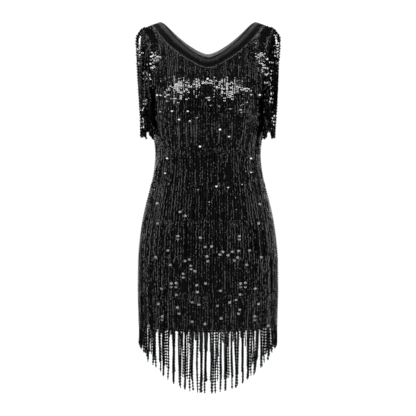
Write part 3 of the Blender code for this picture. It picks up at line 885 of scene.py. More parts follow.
def turned_to_light(side, centres, rng):
    """Which sequins lie in a patch that is turned to the light, and which way these face.

    The back has the same patches, mirrored.
    """
    odds, past = np.zeros(len(centres)), np.zeros(len(centres))
    for patch in PATCHES:
        off_x = (-side * centres[:, 0] - patch.x) / patch.reach_x
        off_z = (centres[:, 2] - patch.z) / patch.reach_z
        here = patch.share * np.exp(-(off_x ** 4 + off_z ** 4))
        past[here > odds] = patch.past
        odds = np.maximum(odds, here)
    aims = light_facing(side, centres) + rng.normal(0, AIM_SPREAD, centres.shape)
    aims[:, 2] += past
    return rng.random(len(centres)) < odds, aims


def glow_tilt(side, centres):
    """How much further the sequins tip back in the lighter places. The back has the same ones, mirrored."""
    tilt = np.zeros(len(centres))
    for glow in GLOWS:
        off_x = (-side * centres[:, 0] - glow.x) / glow.reach_x
        off_z = (centres[:, 2] - glow.z) / glow.reach_z
        tilt += glow.tilt * np.exp(-(off_x ** 2 + off_z ** 2))
    return tilt


def string_lay(rng, count):
    """A tone for the whole string, and one for each of its sequins."""
    return np.stack([np.full(count, rng.random()), rng.random(count)], axis=-1)


# The two panels

CLOTH_COLUMNS = 96
NECK_ROWS, YOKE_ROWS, BODY_ROWS = 8, 20, 68
NECK_LINE = BINDING_WIDTH + SEAM_GAP


def cloth_places(side):
    """Front-view places of a panel's points, in rows from the neck to the hem."""
    shares = np.sin(pi / 2 * np.linspace(-1, 1, CLOTH_COLUMNS + 1))
    rows = [neck_row(side, offset, shares) for offset in np.linspace(NECK_LINE, TIP_OFFSET, NECK_ROWS)]
    rows += [yoke_row(side, k / YOKE_ROWS, shares) for k in range(1, YOKE_ROWS + 1)]
    rows += [body_row(side, k / BODY_ROWS, shares) for k in range(1, BODY_ROWS + 1)]
    return np.array([x for x, _ in rows]), np.array([z for _, z in rows])


class DRESS_OT_cloth(bpy.types.Operator):
    """Make the front and back panels of sequinned stretch cloth"""

    bl_idname = "dress.cloth"
    bl_label = "Cloth panels"

    def execute(self, context):
        sizes, colours = context.scene.dress_sizes, context.scene.dress_colours
        materials = [sequinned_mesh_cloth(colours.cloth), brushed_knit_backing(colours.backing)]
        for side in (FRONT, BACK):
            x, z = cloth_places(side)
            outer, _ = place(side, x, z)
            inner, _ = place(side, x, z, -sizes.cloth_thickness)
            rows, columns = x.shape
            count = rows * columns
            outside = grid_faces(rows, columns)
            # The panel's edge, once round
            rim = [*range(columns), *range(2 * columns - 1, count, columns)]
            rim += [*range(count - 2, count - columns - 1, -1), *range(count - 2 * columns, 0, -columns)]
            edge = [[a, b, b + count, a + count] for a, b in zip(rim, rim[1:] + rim[:1])]
            shape = Shape()
            shape.add(np.concatenate([outer.reshape(-1, 3), inner.reshape(-1, 3)]), outside, edge)
            shape.faces.extend((outside + count)[:, ::-1].tolist())
            shape.slots.extend([1] * len(outside))
            name = SIDE_NAMES[side]
            piece = settle(shape.build(f"cloth_{name}", materials), "sequinned_cloth", f"{name}_panel")
            girths = np.linalg.norm(np.diff(outer, axis=1), axis=2).sum(axis=1)
            lengths = np.linalg.norm(np.diff(outer, axis=0), axis=2).sum(axis=0)
            piece["cut_width"] = float(girths.max())
            piece["cut_length"] = float(lengths.max()) + abs(float(z[0].max() - z[0].min()))
            across = np.diff(outer, axis=1)[:-1]
            down = np.diff(outer, axis=0)[:, :-1]
            piece["cut_area"] = float(np.linalg.norm(np.cross(across, down), axis=2).sum())
        return {"FINISHED"}


# Neck trims

TRIM_STATIONS = 141
BINDING_ROLL = 0.0024       # at the back the folded edge stands past the cloth's edge
BINDING_END = 0.0100        # it covers the seam to the tape
JOINT_SHARE = 0.084         # the tape ends meet right of the centre line
JOINT_LAP = 0.022
LAP_LIFT = 0.0007           # the upper end lies this much higher
LAP_DROOP = 0.0030          # and its cord hangs down a little
TACK_SHARES = (-0.13, 0.16)  # two thread tacks that hold the lapped ends
TACK_OFFSET = mix(BINDING_END, TAPE_END, 0.2)
TACK_TOWARDS = 1.15         # they point outwards, to this many times their share
TACK_RADIUS = 0.0007
TACK_LENGTH = 0.003
TACK_LIFT = 0.0021
# Rows of stitches: distance from the neck edge, and height over the cloth
STITCH_ROWS = [
    (BINDING_END * 0.84, 0.0016),
    (mix(BINDING_END, TAPE_END, 0.12), 0.0018),
    (mix(BINDING_END, TAPE_END, 0.90), 0.0018),
]
STITCH_LENGTH = 0.0026
STITCH_PITCH = 0.0036
STITCH_SHARES = np.array([0.0, 0.2, 0.8, 1.0])
STITCH_RISE = np.array([[-0.0003], [0.0003], [0.0003], [-0.0003]])
THREAD_RADIUS = 0.00026
# Across a trim: share of its width from the neck edge, and height over the cloth's face
BINDING_PROFILE = [
    (1.00, 0.0004), (0.95, 0.0015), (0.74, 0.0018), (0.66, 0.0009), (0.58, 0.0018), (0.40, 0.0018),
    (0.32, 0.0009), (0.24, 0.0016), (0.06, 0.0012), (0.0, 0.0004), (0.0, -0.0008), (0.14, -0.0016),
    (0.66, -0.0019), (1.00, -0.0018),
]
BACK_HIGHLIGHT_SIDES = (10, 11)       # these sides of the profile, at the top of the inner side, take a lighter copy of the satin: a painted highlight
FRONT_SHADE_SIDES = (6, 7, 8, 9)  # and these, along the front's top edge, take the black tape: painted shade along the edge
TAPE_PROFILE = [
    (1.00, 0.0004), (0.97, 0.0013), (0.75, 0.0016), (0.5, 0.0017), (0.25, 0.0016), (0.03, 0.0013),
    (0.0, 0.0004),
]
GIMP_PROFILE = [
    (0.92, 0.0008), (0.80, 0.0017), (0.5, 0.0021), (0.20, 0.0017), (0.08, 0.0008), (0.5, 0.0003),
]


def trim_rings(side, start, end, profile, shares, raise_by=0.0, droop=0.0):
    """Rings of a strip beside the neck edge, between two distances from it."""
    rings, lay = [], []
    for share_out, lift in profile:
        offset = mix(start, end, share_out)
        x, z = neck_row(side, trim_spread(offset, shares), shares)
        points, _ = place(side, x, z - droop, lift + raise_by)
        rings.append(points)
        lay.append(np.stack([path_lengths(points), np.full(len(shares), offset)], axis=-1))
    return np.stack(rings, axis=1), np.stack(lay, axis=1)


def sew_strip(name, rings, lay, materials, slot, node, painted_sides=()):
    """A strip of cloth or tape through rings of points, which stands for a solid."""
    strip = Shape()
    strip.sweep(rings, lay=lay, painted_sides=painted_sides)
    settle(strip.build(name, materials), slot, node)


def stitch_line(shape, side, offset, lift):
    """A row of short stitches beside the neck edge."""
    shares = np.linspace(-1, 1, 400)
    x, z = neck_row(side, trim_spread(offset, shares), shares)
    line, outward = place(side, x, z, lift)
    total = path_lengths(line)[-1]
    for start in np.arange(STITCH_PITCH / 2, total - STITCH_LENGTH, STITCH_PITCH):
        places = start + STITCH_LENGTH * STITCH_SHARES
        path = resample(line, places)
        normal = resample(outward, np.clip(places / total, 0, 1) * path_lengths(outward)[-1])
        shape.sweep(tube_rings(path + unit(normal) * STITCH_RISE, unit(normal), THREAD_RADIUS, 4))


class DRESS_OT_neck_trims(bpy.types.Operator):
    """Make the bound neck edge, the woven tape, the narrow cord and their stitches"""

    bl_idname = "dress.neck_trims"
    bl_label = "Neck trims"

    def execute(self, context):
        colours = context.scene.dress_colours
        satin = bias_cut_satin("bias_cut_satin", colours.satin, roughness=0.45)
        # A lighter copy of the satin, whose grey paints a highlight
        facing = bias_cut_satin("bias_cut_satin_painted_highlight", colours.facing, roughness=0.30)
        tape = petersham_tape(colours.tape)
        gimp, thread = twisted_gimp(colours.gimp), spun_polyester_thread(colours.thread)
        whole = np.sin(pi / 2 * np.linspace(-1, 1, TRIM_STATIONS))
        for side in (FRONT, BACK):
            name = SIDE_NAMES[side]
            # The back's inner side gets a painted highlight at its top, and the front's top edge a painted
            # shade of black tape
            if side == BACK:
                top, painted_sides, inner = -BINDING_ROLL, BACK_HIGHLIGHT_SIDES, facing
            else:
                top, painted_sides, inner = 0.0, FRONT_SHADE_SIDES, tape
            rings, lay = trim_rings(side, top, BINDING_END, BINDING_PROFILE, whole)
            binding, node = f"satin_binding_{name}", f"neck_binding_{name}"
            sew_strip(binding, rings, lay, [satin, inner], "satin_binding", node, painted_sides)
            stitches = Shape()
            if side == FRONT:
                for share in TACK_SHARES:
                    x, z = neck_row(side, TACK_OFFSET, np.array([share, share * TACK_TOWARDS]))
                    ends, _ = place(side, x, z, TACK_LIFT)
                    tack = resample(ends, np.linspace(0, TACK_LENGTH, 4))
                    stitches.sweep(tube_rings(tack, np.array([[0, 0, 1.0]]), TACK_RADIUS, 5))
            for offset, lift in STITCH_ROWS:
                stitch_line(stitches, side, offset, lift)
            settle(stitches.build(f"stitches_{name}", [thread]), "woven_tape")

        left = whole[whole < JOINT_SHARE]
        right = whole[whole > JOINT_SHARE]
        runs = [
            ("front_a", FRONT, np.append(left, [JOINT_SHARE, JOINT_SHARE + JOINT_LAP]), LAP_LIFT),
            ("front_b", FRONT, np.append([JOINT_SHARE - JOINT_LAP / 3], right), 0.0),
            ("back", BACK, whole, 0.0),
        ]
        for name, side, shares, lapped in runs:
            droop = np.zeros_like(shares)
            if lapped:
                droop = LAP_DROOP * ease((shares - JOINT_SHARE + JOINT_LAP) / (2 * JOINT_LAP))
            lift = lapped * ease((shares - JOINT_SHARE + JOINT_LAP) / JOINT_LAP)
            rings, lay = trim_rings(side, BINDING_END + SEAM_GAP, TAPE_END, TAPE_PROFILE, shares, lift)
            sew_strip(f"woven_tape_{name}", rings, lay, [tape], "woven_tape", f"neck_tape_{name}")
            rings, lay = trim_rings(side, TAPE_END + SEAM_GAP, PIPING_END, GIMP_PROFILE, shares, lift, droop)
            sew_strip(f"gimp_{name}", rings, lay, [gimp], "satin_piping", f"neck_piping_{name}")
        return {"FINISHED"}


# Strings on the body

BODY_SEED = 11
BODY_YAW = (0.28, 0.03, 0.11)  # of a whole string, its wander, and of a single sequin, in radians
BODY_TILT_SPREAD = 0.06
BODY_CORNERS = 8
END_RAGGED = 0.013
OVERLAP_LIFT = 0.0014
OVERHANG = 0.046            # the last tier hangs this far below its end in the middle of the hem
OVERHANG_LEAST = 0.2        # share of it that every string has
OVERHANG_X = 0.008
OVERHANG_HALF = 0.050
ROOT_RAGGED = 0.004
DRIFT_LENGTH = 0.1
STRING_DRIFT = 0.0009       # sideways, on each DRIFT_LENGTH of string
STRING_WAVE = 0.0005
STRING_WAVE_TURN = 14       # radians of it on each DRIFT_LENGTH
STRAIGHT_SHARE = 1.05       # the nearer to the side, the more a string follows the outline
END_LIFT_FROM = 0.020       # from here above its end a string rises over the next tier
END_LIFT_RUN = 0.015
LIFT_SPREAD = 0.0003
SIDE_FLAT = 0.6             # share of their lift that the strings lose at the side seams
SIDE_FLAT_POWER = 8
CORD_GAP = 0.0015           # bare below the neck cord
SHOULDER_STRINGS_FROM = NECK_HALF * 0.86  # beyond this, strings start at YOKE_STRING_TOP at most
SEAM_PITCH = 0.0062         # of the string along each side seam, whose sequins sit crosswise in pairs
SEAM_LIFT = 0.0022
SEAM_SPREAD = 0.0006        # of its sequins, to the front and back
SEAM_YAW = (0.1, 0.02, 0.2)
SEAM_TILT = (0.05, 0.1)
SEAM_END = 0.015            # it ends this far above the lowest tier


def neck_line_z(side, x, offset):
    """Height of a line beside the neck edge, at places across the front view."""
    share = np.clip(x / (NECK_HALF + offset), -1.0, 1.0)
    offset = trim_spread(offset, share)
    return mix(-NECK_DROP[side] - offset, -SHOULDER_SLOPE * offset, neck_rise(share, NECK_CURVE))


def girth_places(side, z, spacing):
    """Even places round one side of the body, as x."""
    x = half_width(z) * np.sin(np.linspace(-pi / 2, pi / 2, 181))
    outline = np.stack([x, side * depth_at(side, x, z), np.zeros_like(x)], axis=-1)
    reach = path_lengths(outline)
    count = int(reach[-1] / spacing)
    return np.interp(np.arange(count + 1) / count * reach[-1], reach, x)


def tier_roots(side, tier, spacing):
    """Where the strings of a tier start, as x and z."""
    if tier.root is not None:
        x = girth_places(side, tier.root, spacing)
        return x, np.full_like(x, tier.root)
    count = int(2 * YOKE_STRING_HALF / spacing)
    x = ((np.arange(count) + 0.5) / count - 0.5) * 2 * YOKE_STRING_HALF
    top = neck_line_z(side, x, PIPING_END + CORD_GAP)
    return x, np.where(np.abs(x) > SHOULDER_STRINGS_FROM, np.minimum(top, YOKE_STRING_TOP), top)


def hang_string(sequins, side, x0, z0, z1, tilt_mean, sizes, rng):
    """One string on the body, from its root down to z1."""
    root_half = half_width(z0)
    share = x0 / root_half
    count = int((z0 - z1) / sizes.sequin_pitch)
    if count < 3:
        return
    z = z0 - sizes.sequin_pitch * (np.arange(count) + 0.5)
    half = half_width(z)
    straight = 1 - ease(abs(share) * STRAIGHT_SHARE)
    x = share * mix(half, root_half, straight)
    down = (z0 - z) / DRIFT_LENGTH
    x = x + down * rng.normal(0, STRING_DRIFT)
    x = x + STRING_WAVE * np.sin(down * STRING_WAVE_TURN + rng.random() * 2 * pi)
    x = np.clip(x, -half, half)
    near_end = ease((z1 + END_LIFT_FROM - z) / END_LIFT_RUN)
    lift = sizes.string_lift + OVERLAP_LIFT * near_end + rng.normal(0, LIFT_SPREAD)
    centres, outward = place(side, x, z, lift * (1 - SIDE_FLAT * np.abs(x / half) ** SIDE_FLAT_POWER))
    outward[:, 2] = 0.0
    string_tilt = tilt_mean + rng.normal(0, BODY_TILT_SPREAD)
    yaw, tilt = sequin_turns(rng, count, BODY_YAW, string_tilt, BODY_TILT_SPREAD)
    tilt = tilt + glow_tilt(side, centres)
    lay = string_lay(rng, count)
    sequins.string(centres, unit(outward), yaw, tilt, lay, *turned_to_light(side, centres, rng))


def hang_seam_string(sequins, end, z0, z1, rng):
    """A string down a side seam, which shows as a row of dots along the outline."""
    z = np.arange(z0, z1, -SEAM_PITCH)
    y = rng.normal(0, SEAM_SPREAD, len(z))
    centres = np.stack([end * (half_width(z) + SEAM_LIFT), y, z], axis=-1)
    facing = np.broadcast_to([[0.0, -1.0, 0.0]], centres.shape)
    yaw, tilt = sequin_turns(rng, len(z), SEAM_YAW, *SEAM_TILT)
    lay = string_lay(rng, len(z))
    sequins.string(centres, facing, yaw, tilt, lay)
    sequins.string(centres, facing, yaw + pi / 2, tilt, lay)


class DRESS_OT_body_strings(bpy.types.Operator):
    """Hang tiers of sequin strings all over the front and the back"""

    bl_idname = "dress.body_strings"
    bl_label = "Body strings"

    def execute(self, context):
        sizes, colours = context.scene.dress_sizes, context.scene.dress_colours
        film = vacuum_formed_sequin_film(colours.sequin)
        rng = np.random.default_rng(BODY_SEED)
        for side in (FRONT, BACK):
            for part, tiers in (("upper", TIERS[:UPPER_TIERS]), ("lower", TIERS[UPPER_TIERS:])):
                sequins = Sequins(sizes.sequin_diameter, sizes.sequin_cup, BODY_CORNERS)
                for tier in tiers:
                    for x0, z0 in zip(*tier_roots(side, tier, sizes.string_spacing)):
                        start = z0 + rng.uniform(-ROOT_RAGGED, ROOT_RAGGED)
                        end = tier.end + rng.normal(0, END_RAGGED)
                        if tier is TIERS[-1]:
                            middle = np.exp(-((x0 + side * OVERHANG_X) / OVERHANG_HALF) ** 4)
                            end -= OVERHANG * rng.uniform(OVERHANG_LEAST, 1.0) * middle
                        hang_string(sequins, side, x0, start, end, tier.tilt, sizes, rng)
                if side == FRONT:
                    top = min(tiers[0].root or -ARMHOLE_DEPTH, -ARMHOLE_DEPTH)
                    for end in (-1, 1):
                        hang_seam_string(sequins, end, top, tiers[-1].end + SEAM_END, rng)
                name = SIDE_NAMES[side]
                settle(sequins.build(f"strings_{name}_{part}", film), "sequin_strings", f"{name}_panel")
        return {"FINISHED"}


# Sequins sewn flat on the yoke, beside the armholes

YOKE_SEED = 23
YOKE_SEQUIN_SIZE = 1.1      # against those of the strings
YOKE_SEQUIN_PITCH = 0.0040
YOKE_ROW_PITCH = YOKE_SEQUIN_PITCH * 0.8
YOKE_ROWS_TOP = -0.002
YOKE_ROWS_END = -0.165
YOKE_SEQUIN_LIFT = 0.0010
YOKE_SEQUIN_STRAY = 0.0003
YOKE_SEQUIN_UP = 0.2        # how far up they face at most
YOKE_SEQUIN_TILT = -0.10
YOKE_SEQUIN_SPREAD = 0.04   # of their yaw and tilt, in radians
YOKE_SEQUIN_FROM = 0.100    # from the centre line
YOKE_SEQUIN_SEAM = 0.001    # bare below the shoulder seam
YOKE_SEQUIN_ARM = 0.004     # bare beside the armhole
YOKE_SEQUIN_NECK = PIPING_END + 0.002


class DRESS_OT_yoke_sequins(bpy.types.Operator):
    """Sew flat sequins on the cloth between the neck trims and the armholes"""

    bl_idname = "dress.yoke_sequins"
    bl_label = "Yoke sequins"

    def execute(self, context):
        sizes, colours = context.scene.dress_sizes, context.scene.dress_colours
        film = vacuum_formed_sequin_film(colours.sequin)
        rng = np.random.default_rng(YOKE_SEED)
        for side in (FRONT, BACK):
            diameter = sizes.sequin_diameter * YOKE_SEQUIN_SIZE
            sequins = Sequins(diameter, sizes.sequin_cup / 2, BODY_CORNERS)
            for row, z in enumerate(np.arange(YOKE_ROWS_TOP, YOKE_ROWS_END, -YOKE_ROW_PITCH)):
                x = np.arange(YOKE_SEQUIN_FROM, half_width(z) - YOKE_SEQUIN_ARM, YOKE_SEQUIN_PITCH)
                x = x + (row % 2) * YOKE_SEQUIN_PITCH / 2
                below_seam = z < -SHOULDER_SLOPE * (x - NECK_HALF) - YOKE_SEQUIN_SEAM
                x = x[(z < neck_line_z(side, x, YOKE_SEQUIN_NECK)) & below_seam]
                for end in (-1, 1):
                    if len(x) < 2:
                        continue
                    xs = end * x + rng.normal(0, YOKE_SEQUIN_STRAY, len(x))
                    zs = z + rng.normal(0, YOKE_SEQUIN_STRAY, len(x))
                    centres, outward = place(side, xs, zs, YOKE_SEQUIN_LIFT)
                    outward[:, 2] = np.minimum(outward[:, 2], YOKE_SEQUIN_UP)
                    spreads = (0.0, 0.0, YOKE_SEQUIN_SPREAD)
                    yaw, tilt = sequin_turns(rng, len(x), spreads, YOKE_SEQUIN_TILT, YOKE_SEQUIN_SPREAD)
                    lay = string_lay(rng, len(x))
                    aimed, aims = turned_to_light(side, centres, rng)
                    for k in range(len(x)):
                        one = slice(k, k + 1)
                        sequins.string(
                            centres[one], outward[one], yaw[one], tilt[one], lay[one], aimed[one], aims[one]
                        )
            settle(sequins.build(f"yoke_sequins_{SIDE_NAMES[side]}", film), "sequinned_cloth")
        return {"FINISHED"}


# Sleeve fringe

SLEEVE_SEED = 31
FREE_YAW = (0.25, 0.05, 0.50)
FREE_TILT = (0.06, 0.12)
FREE_CORNERS = 6
HEADING_CORNERS = [(-0.0034, -0.0002), (-0.0034, 0.0006), (0.0008, 0.0006), (0.0014, 0.0), (0.0008, -0.0016)]
ARMHOLE_STATIONS = 24
SLEEVE_STATIONS = 24
SLEEVE_CROWDING = 1.4       # they lie closer together near the root
SLEEVE_WAVER = 0.0012
SLEEVE_WAVER_TURN = 9       # radians of it, on the whole string
SLEEVE_WAVER_START = 6      # radians at most
SLEEVE_SPREAD = 0.005       # of the strings to the front and back
SLEEVE_APART = 0.002        # of the front strings and the back ones, from the edge
ROOT_STRAY = (0.1, 0.9)     # of a root, within its own room
ROOT_OUT = 0.0006           # of the strings, from the armhole edge
SEED_RADIUS = 0.0011        # of the seed beads between the sequins, drawn as one rod
ROD_STEP = 0.02
ROD_ACROSS = np.array([[0.3, 1.0, 0.1]])  # no string runs this way
FIRST_SEQUIN = (0.3, 1.1)   # of the pitch, from the root
TIP_BEAD = 0.0017


def free_string(sequins, shape, path, side, sizes, rng):
    """A string that hangs free along a path: seed beads between the sequins, and a bead at its end.

    The sequins sit crosswise in pairs, so that the string looks the same all round.
    """
    length = path_lengths(path)[-1]
    first = sizes.fringe_pitch * rng.uniform(*FIRST_SEQUIN)
    places = np.arange(first, length - TIP_BEAD, sizes.fringe_pitch)
    centres = resample(path, places)
    yaw, tilt = sequin_turns(rng, len(places), FREE_YAW, *FREE_TILT)
    facing = np.broadcast_to([[0.0, float(side), 0.0]], centres.shape)
    lay = string_lay(rng, len(places))
    sequins.string(centres, facing, yaw, tilt, lay, *turned_to_light(side, centres, rng))
    sequins.string(centres, facing, yaw + pi / 2, tilt, lay)
    stations = resample(path, np.linspace(0, length - TIP_BEAD, max(int(length / ROD_STEP), 3)))
    shape.sweep(tube_rings(stations, ROD_ACROSS, SEED_RADIUS, 5))
    bead(shape, path[-1], TIP_BEAD)


def sew_heading(name, line, rings, tape, node):
    """The narrow strip of tape that a fringe hangs from."""
    reach = np.repeat(path_lengths(line)[:, None], rings.shape[1], axis=1)
    lay = np.stack([reach, np.zeros_like(reach)], axis=-1)
    sew_strip(name, rings, lay, [tape], "woven_tape", node)


class DRESS_OT_sleeve_fringe(bpy.types.Operator):
    """Hang the fringe of strings from each armhole"""

    bl_idname = "dress.sleeve_fringe"
    bl_label = "Sleeve fringe"

    def execute(self, context):
        sizes, colours = context.scene.dress_sizes, context.scene.dress_colours
        film = vacuum_formed_sequin_film(colours.sequin)
        tape = petersham_tape(colours.tape)
        shares = np.linspace(0, 1, SLEEVE_STATIONS) ** SLEEVE_CROWDING
        for end, tag in ((-1, "a"), (1, "b")):
            rng = np.random.default_rng(SLEEVE_SEED + end)
            edge, outward = armhole_line(end, ARMHOLE_STATIONS)
            beyond = unit(np.cross(np.gradient(edge, axis=0), outward) * end)
            rings = np.stack([edge + beyond * off + outward * lift for off, lift in HEADING_CORNERS], axis=1)
            sew_heading(f"sleeve_heading_{tag}", edge, rings, tape, f"sleeve_fringe_{tag}")

            sequins = Sequins(sizes.fringe_diameter, sizes.sequin_cup, FREE_CORNERS)
            shape = Shape()
            half_length = path_lengths(edge)[-1] / 2
            for side in (FRONT, BACK):
                for group in SLEEVE_GROUPS:
                    for k in range(group.count):
                        room = (k + rng.uniform(*ROOT_STRAY)) / group.count
                        along = mix(group.root_from, group.root_to, room)
                        root_at = half_length * (1 + side * along)
                        root = resample(edge + beyond * ROOT_OUT, np.array([root_at]))[0]
                        out_x = mix(group.out_from, group.out_to, rng.random())
                        tip_x = mix(group.tip_from, group.tip_to, rng.random())
                        tip_z = SLEEVE_TIP_Z + mix(group.rise_from, group.rise_to, rng.random())
                        bow = np.sqrt(ease(shares / group.bow_at))
                        below = np.clip((shares - group.bow_at) / (1 - group.bow_at), 0.0, 1.0)
                        x = mix(mix(root[0] * end, out_x, bow), tip_x, below)
                        phase = rng.random() * SLEEVE_WAVER_START
                        x = x + SLEEVE_WAVER * np.sin(shares * SLEEVE_WAVER_TURN + phase) * below
                        # The strings spread to the front and back over their first quarter
                        apart = side * SLEEVE_APART + rng.normal(0, SLEEVE_SPREAD)
                        y = root[1] + apart * ease(shares * 4)
                        path = np.stack([end * x, y, mix(root[2], tip_z, shares)], axis=-1)
                        free_string(sequins, shape, path, side, sizes, rng)
            piece = sequins.build(f"sleeve_strings_{tag}", film, shape)
            settle(piece, "sequin_strings", f"sleeve_fringe_{tag}")
        return {"FINISHED"}


# Hem fringe

HEM_SEED = 47
HEM_HEADING = 0.005
HEM_HEADING_CORNERS = [(0.0014, 0.0003), (0.0014, HEM_HEADING), (-0.0012, HEM_HEADING), (-0.0012, 0.0003)]
HEM_RAGGED = 0.0010
HEM_SHIFT = 0.0030          # of the roots, to either side
STRING_HALF = 0.0028        # room that a string beside a gap takes
HEM_LONGEST = 0.16
HEM_SWAY_SPREAD = 0.30
HEM_SWAY_POWER = 1.3
HEM_WAVER = 0.0012
HEM_WAVER_TURN = 8          # radians of it, on the longest string
HEM_DEPTH_SPREAD = 0.004
ROOT_PULL = 0.3             # share of the move aside that a string has at its root
HEM_STATIONS = 16
HEM_GAP_REACH = 0.0065      # strings this close to a gap move aside
WIDE_GAP = 0.0025           # from this half width on, the gaps go through the back fringe too
GAP_SCALE = {FRONT: 1.0, BACK: 1.068}  # where they lie behind the front's, as the camera sees them


def beside_gaps(side, x):
    """How far a hem string at x moves aside for the gaps between the bunches."""
    aside = 0.0
    for gap in HEM_GAPS:
        if side == BACK and gap.half < WIDE_GAP:
            continue
        off = x - gap.x * GAP_SCALE[side]
        if abs(off) < HEM_GAP_REACH:
            aside += (1 if off > 0 else -1) * (gap.half + STRING_HALF) * (1 - abs(off) / HEM_GAP_REACH)
    return aside


class DRESS_OT_hem_fringe(bpy.types.Operator):
    """Hang the long pointed fringe from the hem"""

    bl_idname = "dress.hem_fringe"
    bl_label = "Hem fringe"

    def execute(self, context):
        sizes, colours = context.scene.dress_sizes, context.scene.dress_colours
        film = vacuum_formed_sequin_film(colours.sequin)
        tape = petersham_tape(colours.tape)
        for side in (FRONT, BACK):
            rng = np.random.default_rng(HEM_SEED + side)
            name = SIDE_NAMES[side]
            shares = np.sin(pi / 2 * np.linspace(-1, 1, 121))
            z = hem_z(shares)
            x = half_width(z) * shares
            rings = []
            for lift, drop in HEM_HEADING_CORNERS:
                points, _ = place(side, x, z, lift)
                rings.append(points - [0, 0, drop])
            sew_heading(f"hem_heading_{name}", rings[0], np.stack(rings, axis=1), tape, f"hem_fringe_{name}")

            even = (np.arange(HEM_STRINGS) + 0.5) / HEM_STRINGS
            places = even * path_lengths(rings[0])[-1] + rng.normal(0, HEM_SHIFT, HEM_STRINGS)
            roots = resample((rings[1] + rings[2]) / 2, places)
            sequins = Sequins(sizes.fringe_diameter, sizes.sequin_cup, FREE_CORNERS)
            shape = Shape()
            for k, root in enumerate(roots):
                spread = abs(root[0]) / WIDTHS[-1].half
                tip_z = HEM_POINT + HEM_RISE * spread ** HEM_RISE_CURVE + abs(rng.normal(0, HEM_RAGGED))
                down = np.linspace(0, 1, HEM_STATIONS)
                length = (root[2] - tip_z) / HEM_LONGEST
                aside = beside_gaps(side, root[0])
                # A string has moved aside by half the length of the longest one
                pull = mix(ROOT_PULL, 1, ease(down * length * 2))
                sway = sizes.hem_sway * rng.normal(0, HEM_SWAY_SPREAD) * length * down ** HEM_SWAY_POWER
                turn = down * HEM_WAVER_TURN * length + rng.random() * 2 * pi
                x = root[0] + aside * pull + (sway + HEM_WAVER * np.sin(turn) * down)
                y = root[1] + rng.normal(0, HEM_DEPTH_SPREAD) * down
                path = np.stack([x, y, mix(root[2], tip_z, down)], axis=-1)
                free_string(sequins, shape, path, side, sizes, rng)
            piece = sequins.build(f"hem_strings_{name}", film, shape)
            settle(piece, "sequin_strings", f"hem_fringe_{name}")
        return {"FINISHED"}


# Paillettes

PAILLETTE_SEED = 59
PAILLETTE_LIFT = 0.0052
PAILLETTE_YAW = 0.05
PAILLETTE_TILT = 0.03
PAILLETTE_CORNERS = 12
PAINTED_SHEEN_SIZE = 1.3          # against the bright ones
# Where they are scattered on the back: from the centre line, and between two heights
BACK_BRIGHT_FIELD = (0.125, -0.45, -0.15)
BACK_PAINTED_SHEEN_FIELD = (0.145, -0.78, -0.46)


def scatter(rng, count, half, low, high):
    """Random places within half of the centre line, and between two heights."""
    return [Spot(rng.uniform(-half, half), rng.uniform(low, high)) for _ in range(count)]


class DRESS_OT_paillettes(bpy.types.Operator):
    """Scatter large bright sequins over the strings"""

    bl_idname = "dress.paillettes"
    bl_label = "Paillettes"

    def execute(self, context):
        sizes, colours = context.scene.dress_sizes, context.scene.dress_colours
        film = vacuum_formed_sequin_film(colours.sequin)
        # The frosted sequins' grey face is a painted sheen
        frosted_painted_sheen = frosted_film_painted_sheen(colours.frosted_painted_sheen)
        rng = np.random.default_rng(PAILLETTE_SEED)
        back = scatter(rng, BACK_PAILLETTES, *BACK_BRIGHT_FIELD)
        back_painted_sheen = scatter(rng, BACK_PAINTED_SHEEN, *BACK_PAINTED_SHEEN_FIELD)
        groups = [
            ("paillettes", FRONT, FRONT_PAILLETTES, film, 1.0),
            ("paillettes", BACK, back, film, 1.0),
            ("painted_sheen_paillettes", FRONT, FRONT_PAINTED_SHEEN, frosted_painted_sheen, PAINTED_SHEEN_SIZE),
            ("painted_sheen_paillettes", BACK, back_painted_sheen, frosted_painted_sheen, PAINTED_SHEEN_SIZE),
        ]
        for tag, side, spots, material, size in groups:
            sequins = Sequins(sizes.paillette_diameter * size, sizes.sequin_cup / 2, PAILLETTE_CORNERS)
            for spot in spots:
                centres, outward = place(side, np.array([spot.x]), np.array([spot.z]), PAILLETTE_LIFT)
                facing = light_facing(side, centres)
                yaw = rng.normal(0, PAILLETTE_YAW, 1)
                tilt = np.arcsin(facing[:, 2]) + rng.normal(0, PAILLETTE_TILT)
                sequins.string(centres, facing, yaw, tilt, string_lay(rng, 1))
            settle(sequins.build(f"{tag}_{SIDE_NAMES[side]}", material), "sequin_strings")
        return {"FINISHED"}


# Studio

VIEW_WIDTH = 1.0816         # of the image, at the dress's middle
SENSOR = 36.0               # millimetres
FLOOR_Z = -1.36             # where the wearer would stand
FLOOR_RADIUS = 2.1
BACKDROP_STRENGTH = 1.05    # of the white beyond the floor
ROOM_STRENGTH = 0.10        # of the light that the dim room gives

# Rectangular softboxes: place, what they aim at, size and radiance
Softbox = namedtuple("Softbox", "name place target width height radiance")
BACK_KEY_PLACE = (KEY_PLACE[0], -KEY_PLACE[1], KEY_PLACE[2])


def softbox_pair(name, place, target, width, height, radiance):
    """The same softbox on the left and on the right."""
    return [
        Softbox(f"{name}_{tag}", (end * place[0], *place[1:]), target, width, height, radiance)
        for end, tag in ((-1, "left"), (1, "right"))
    ]


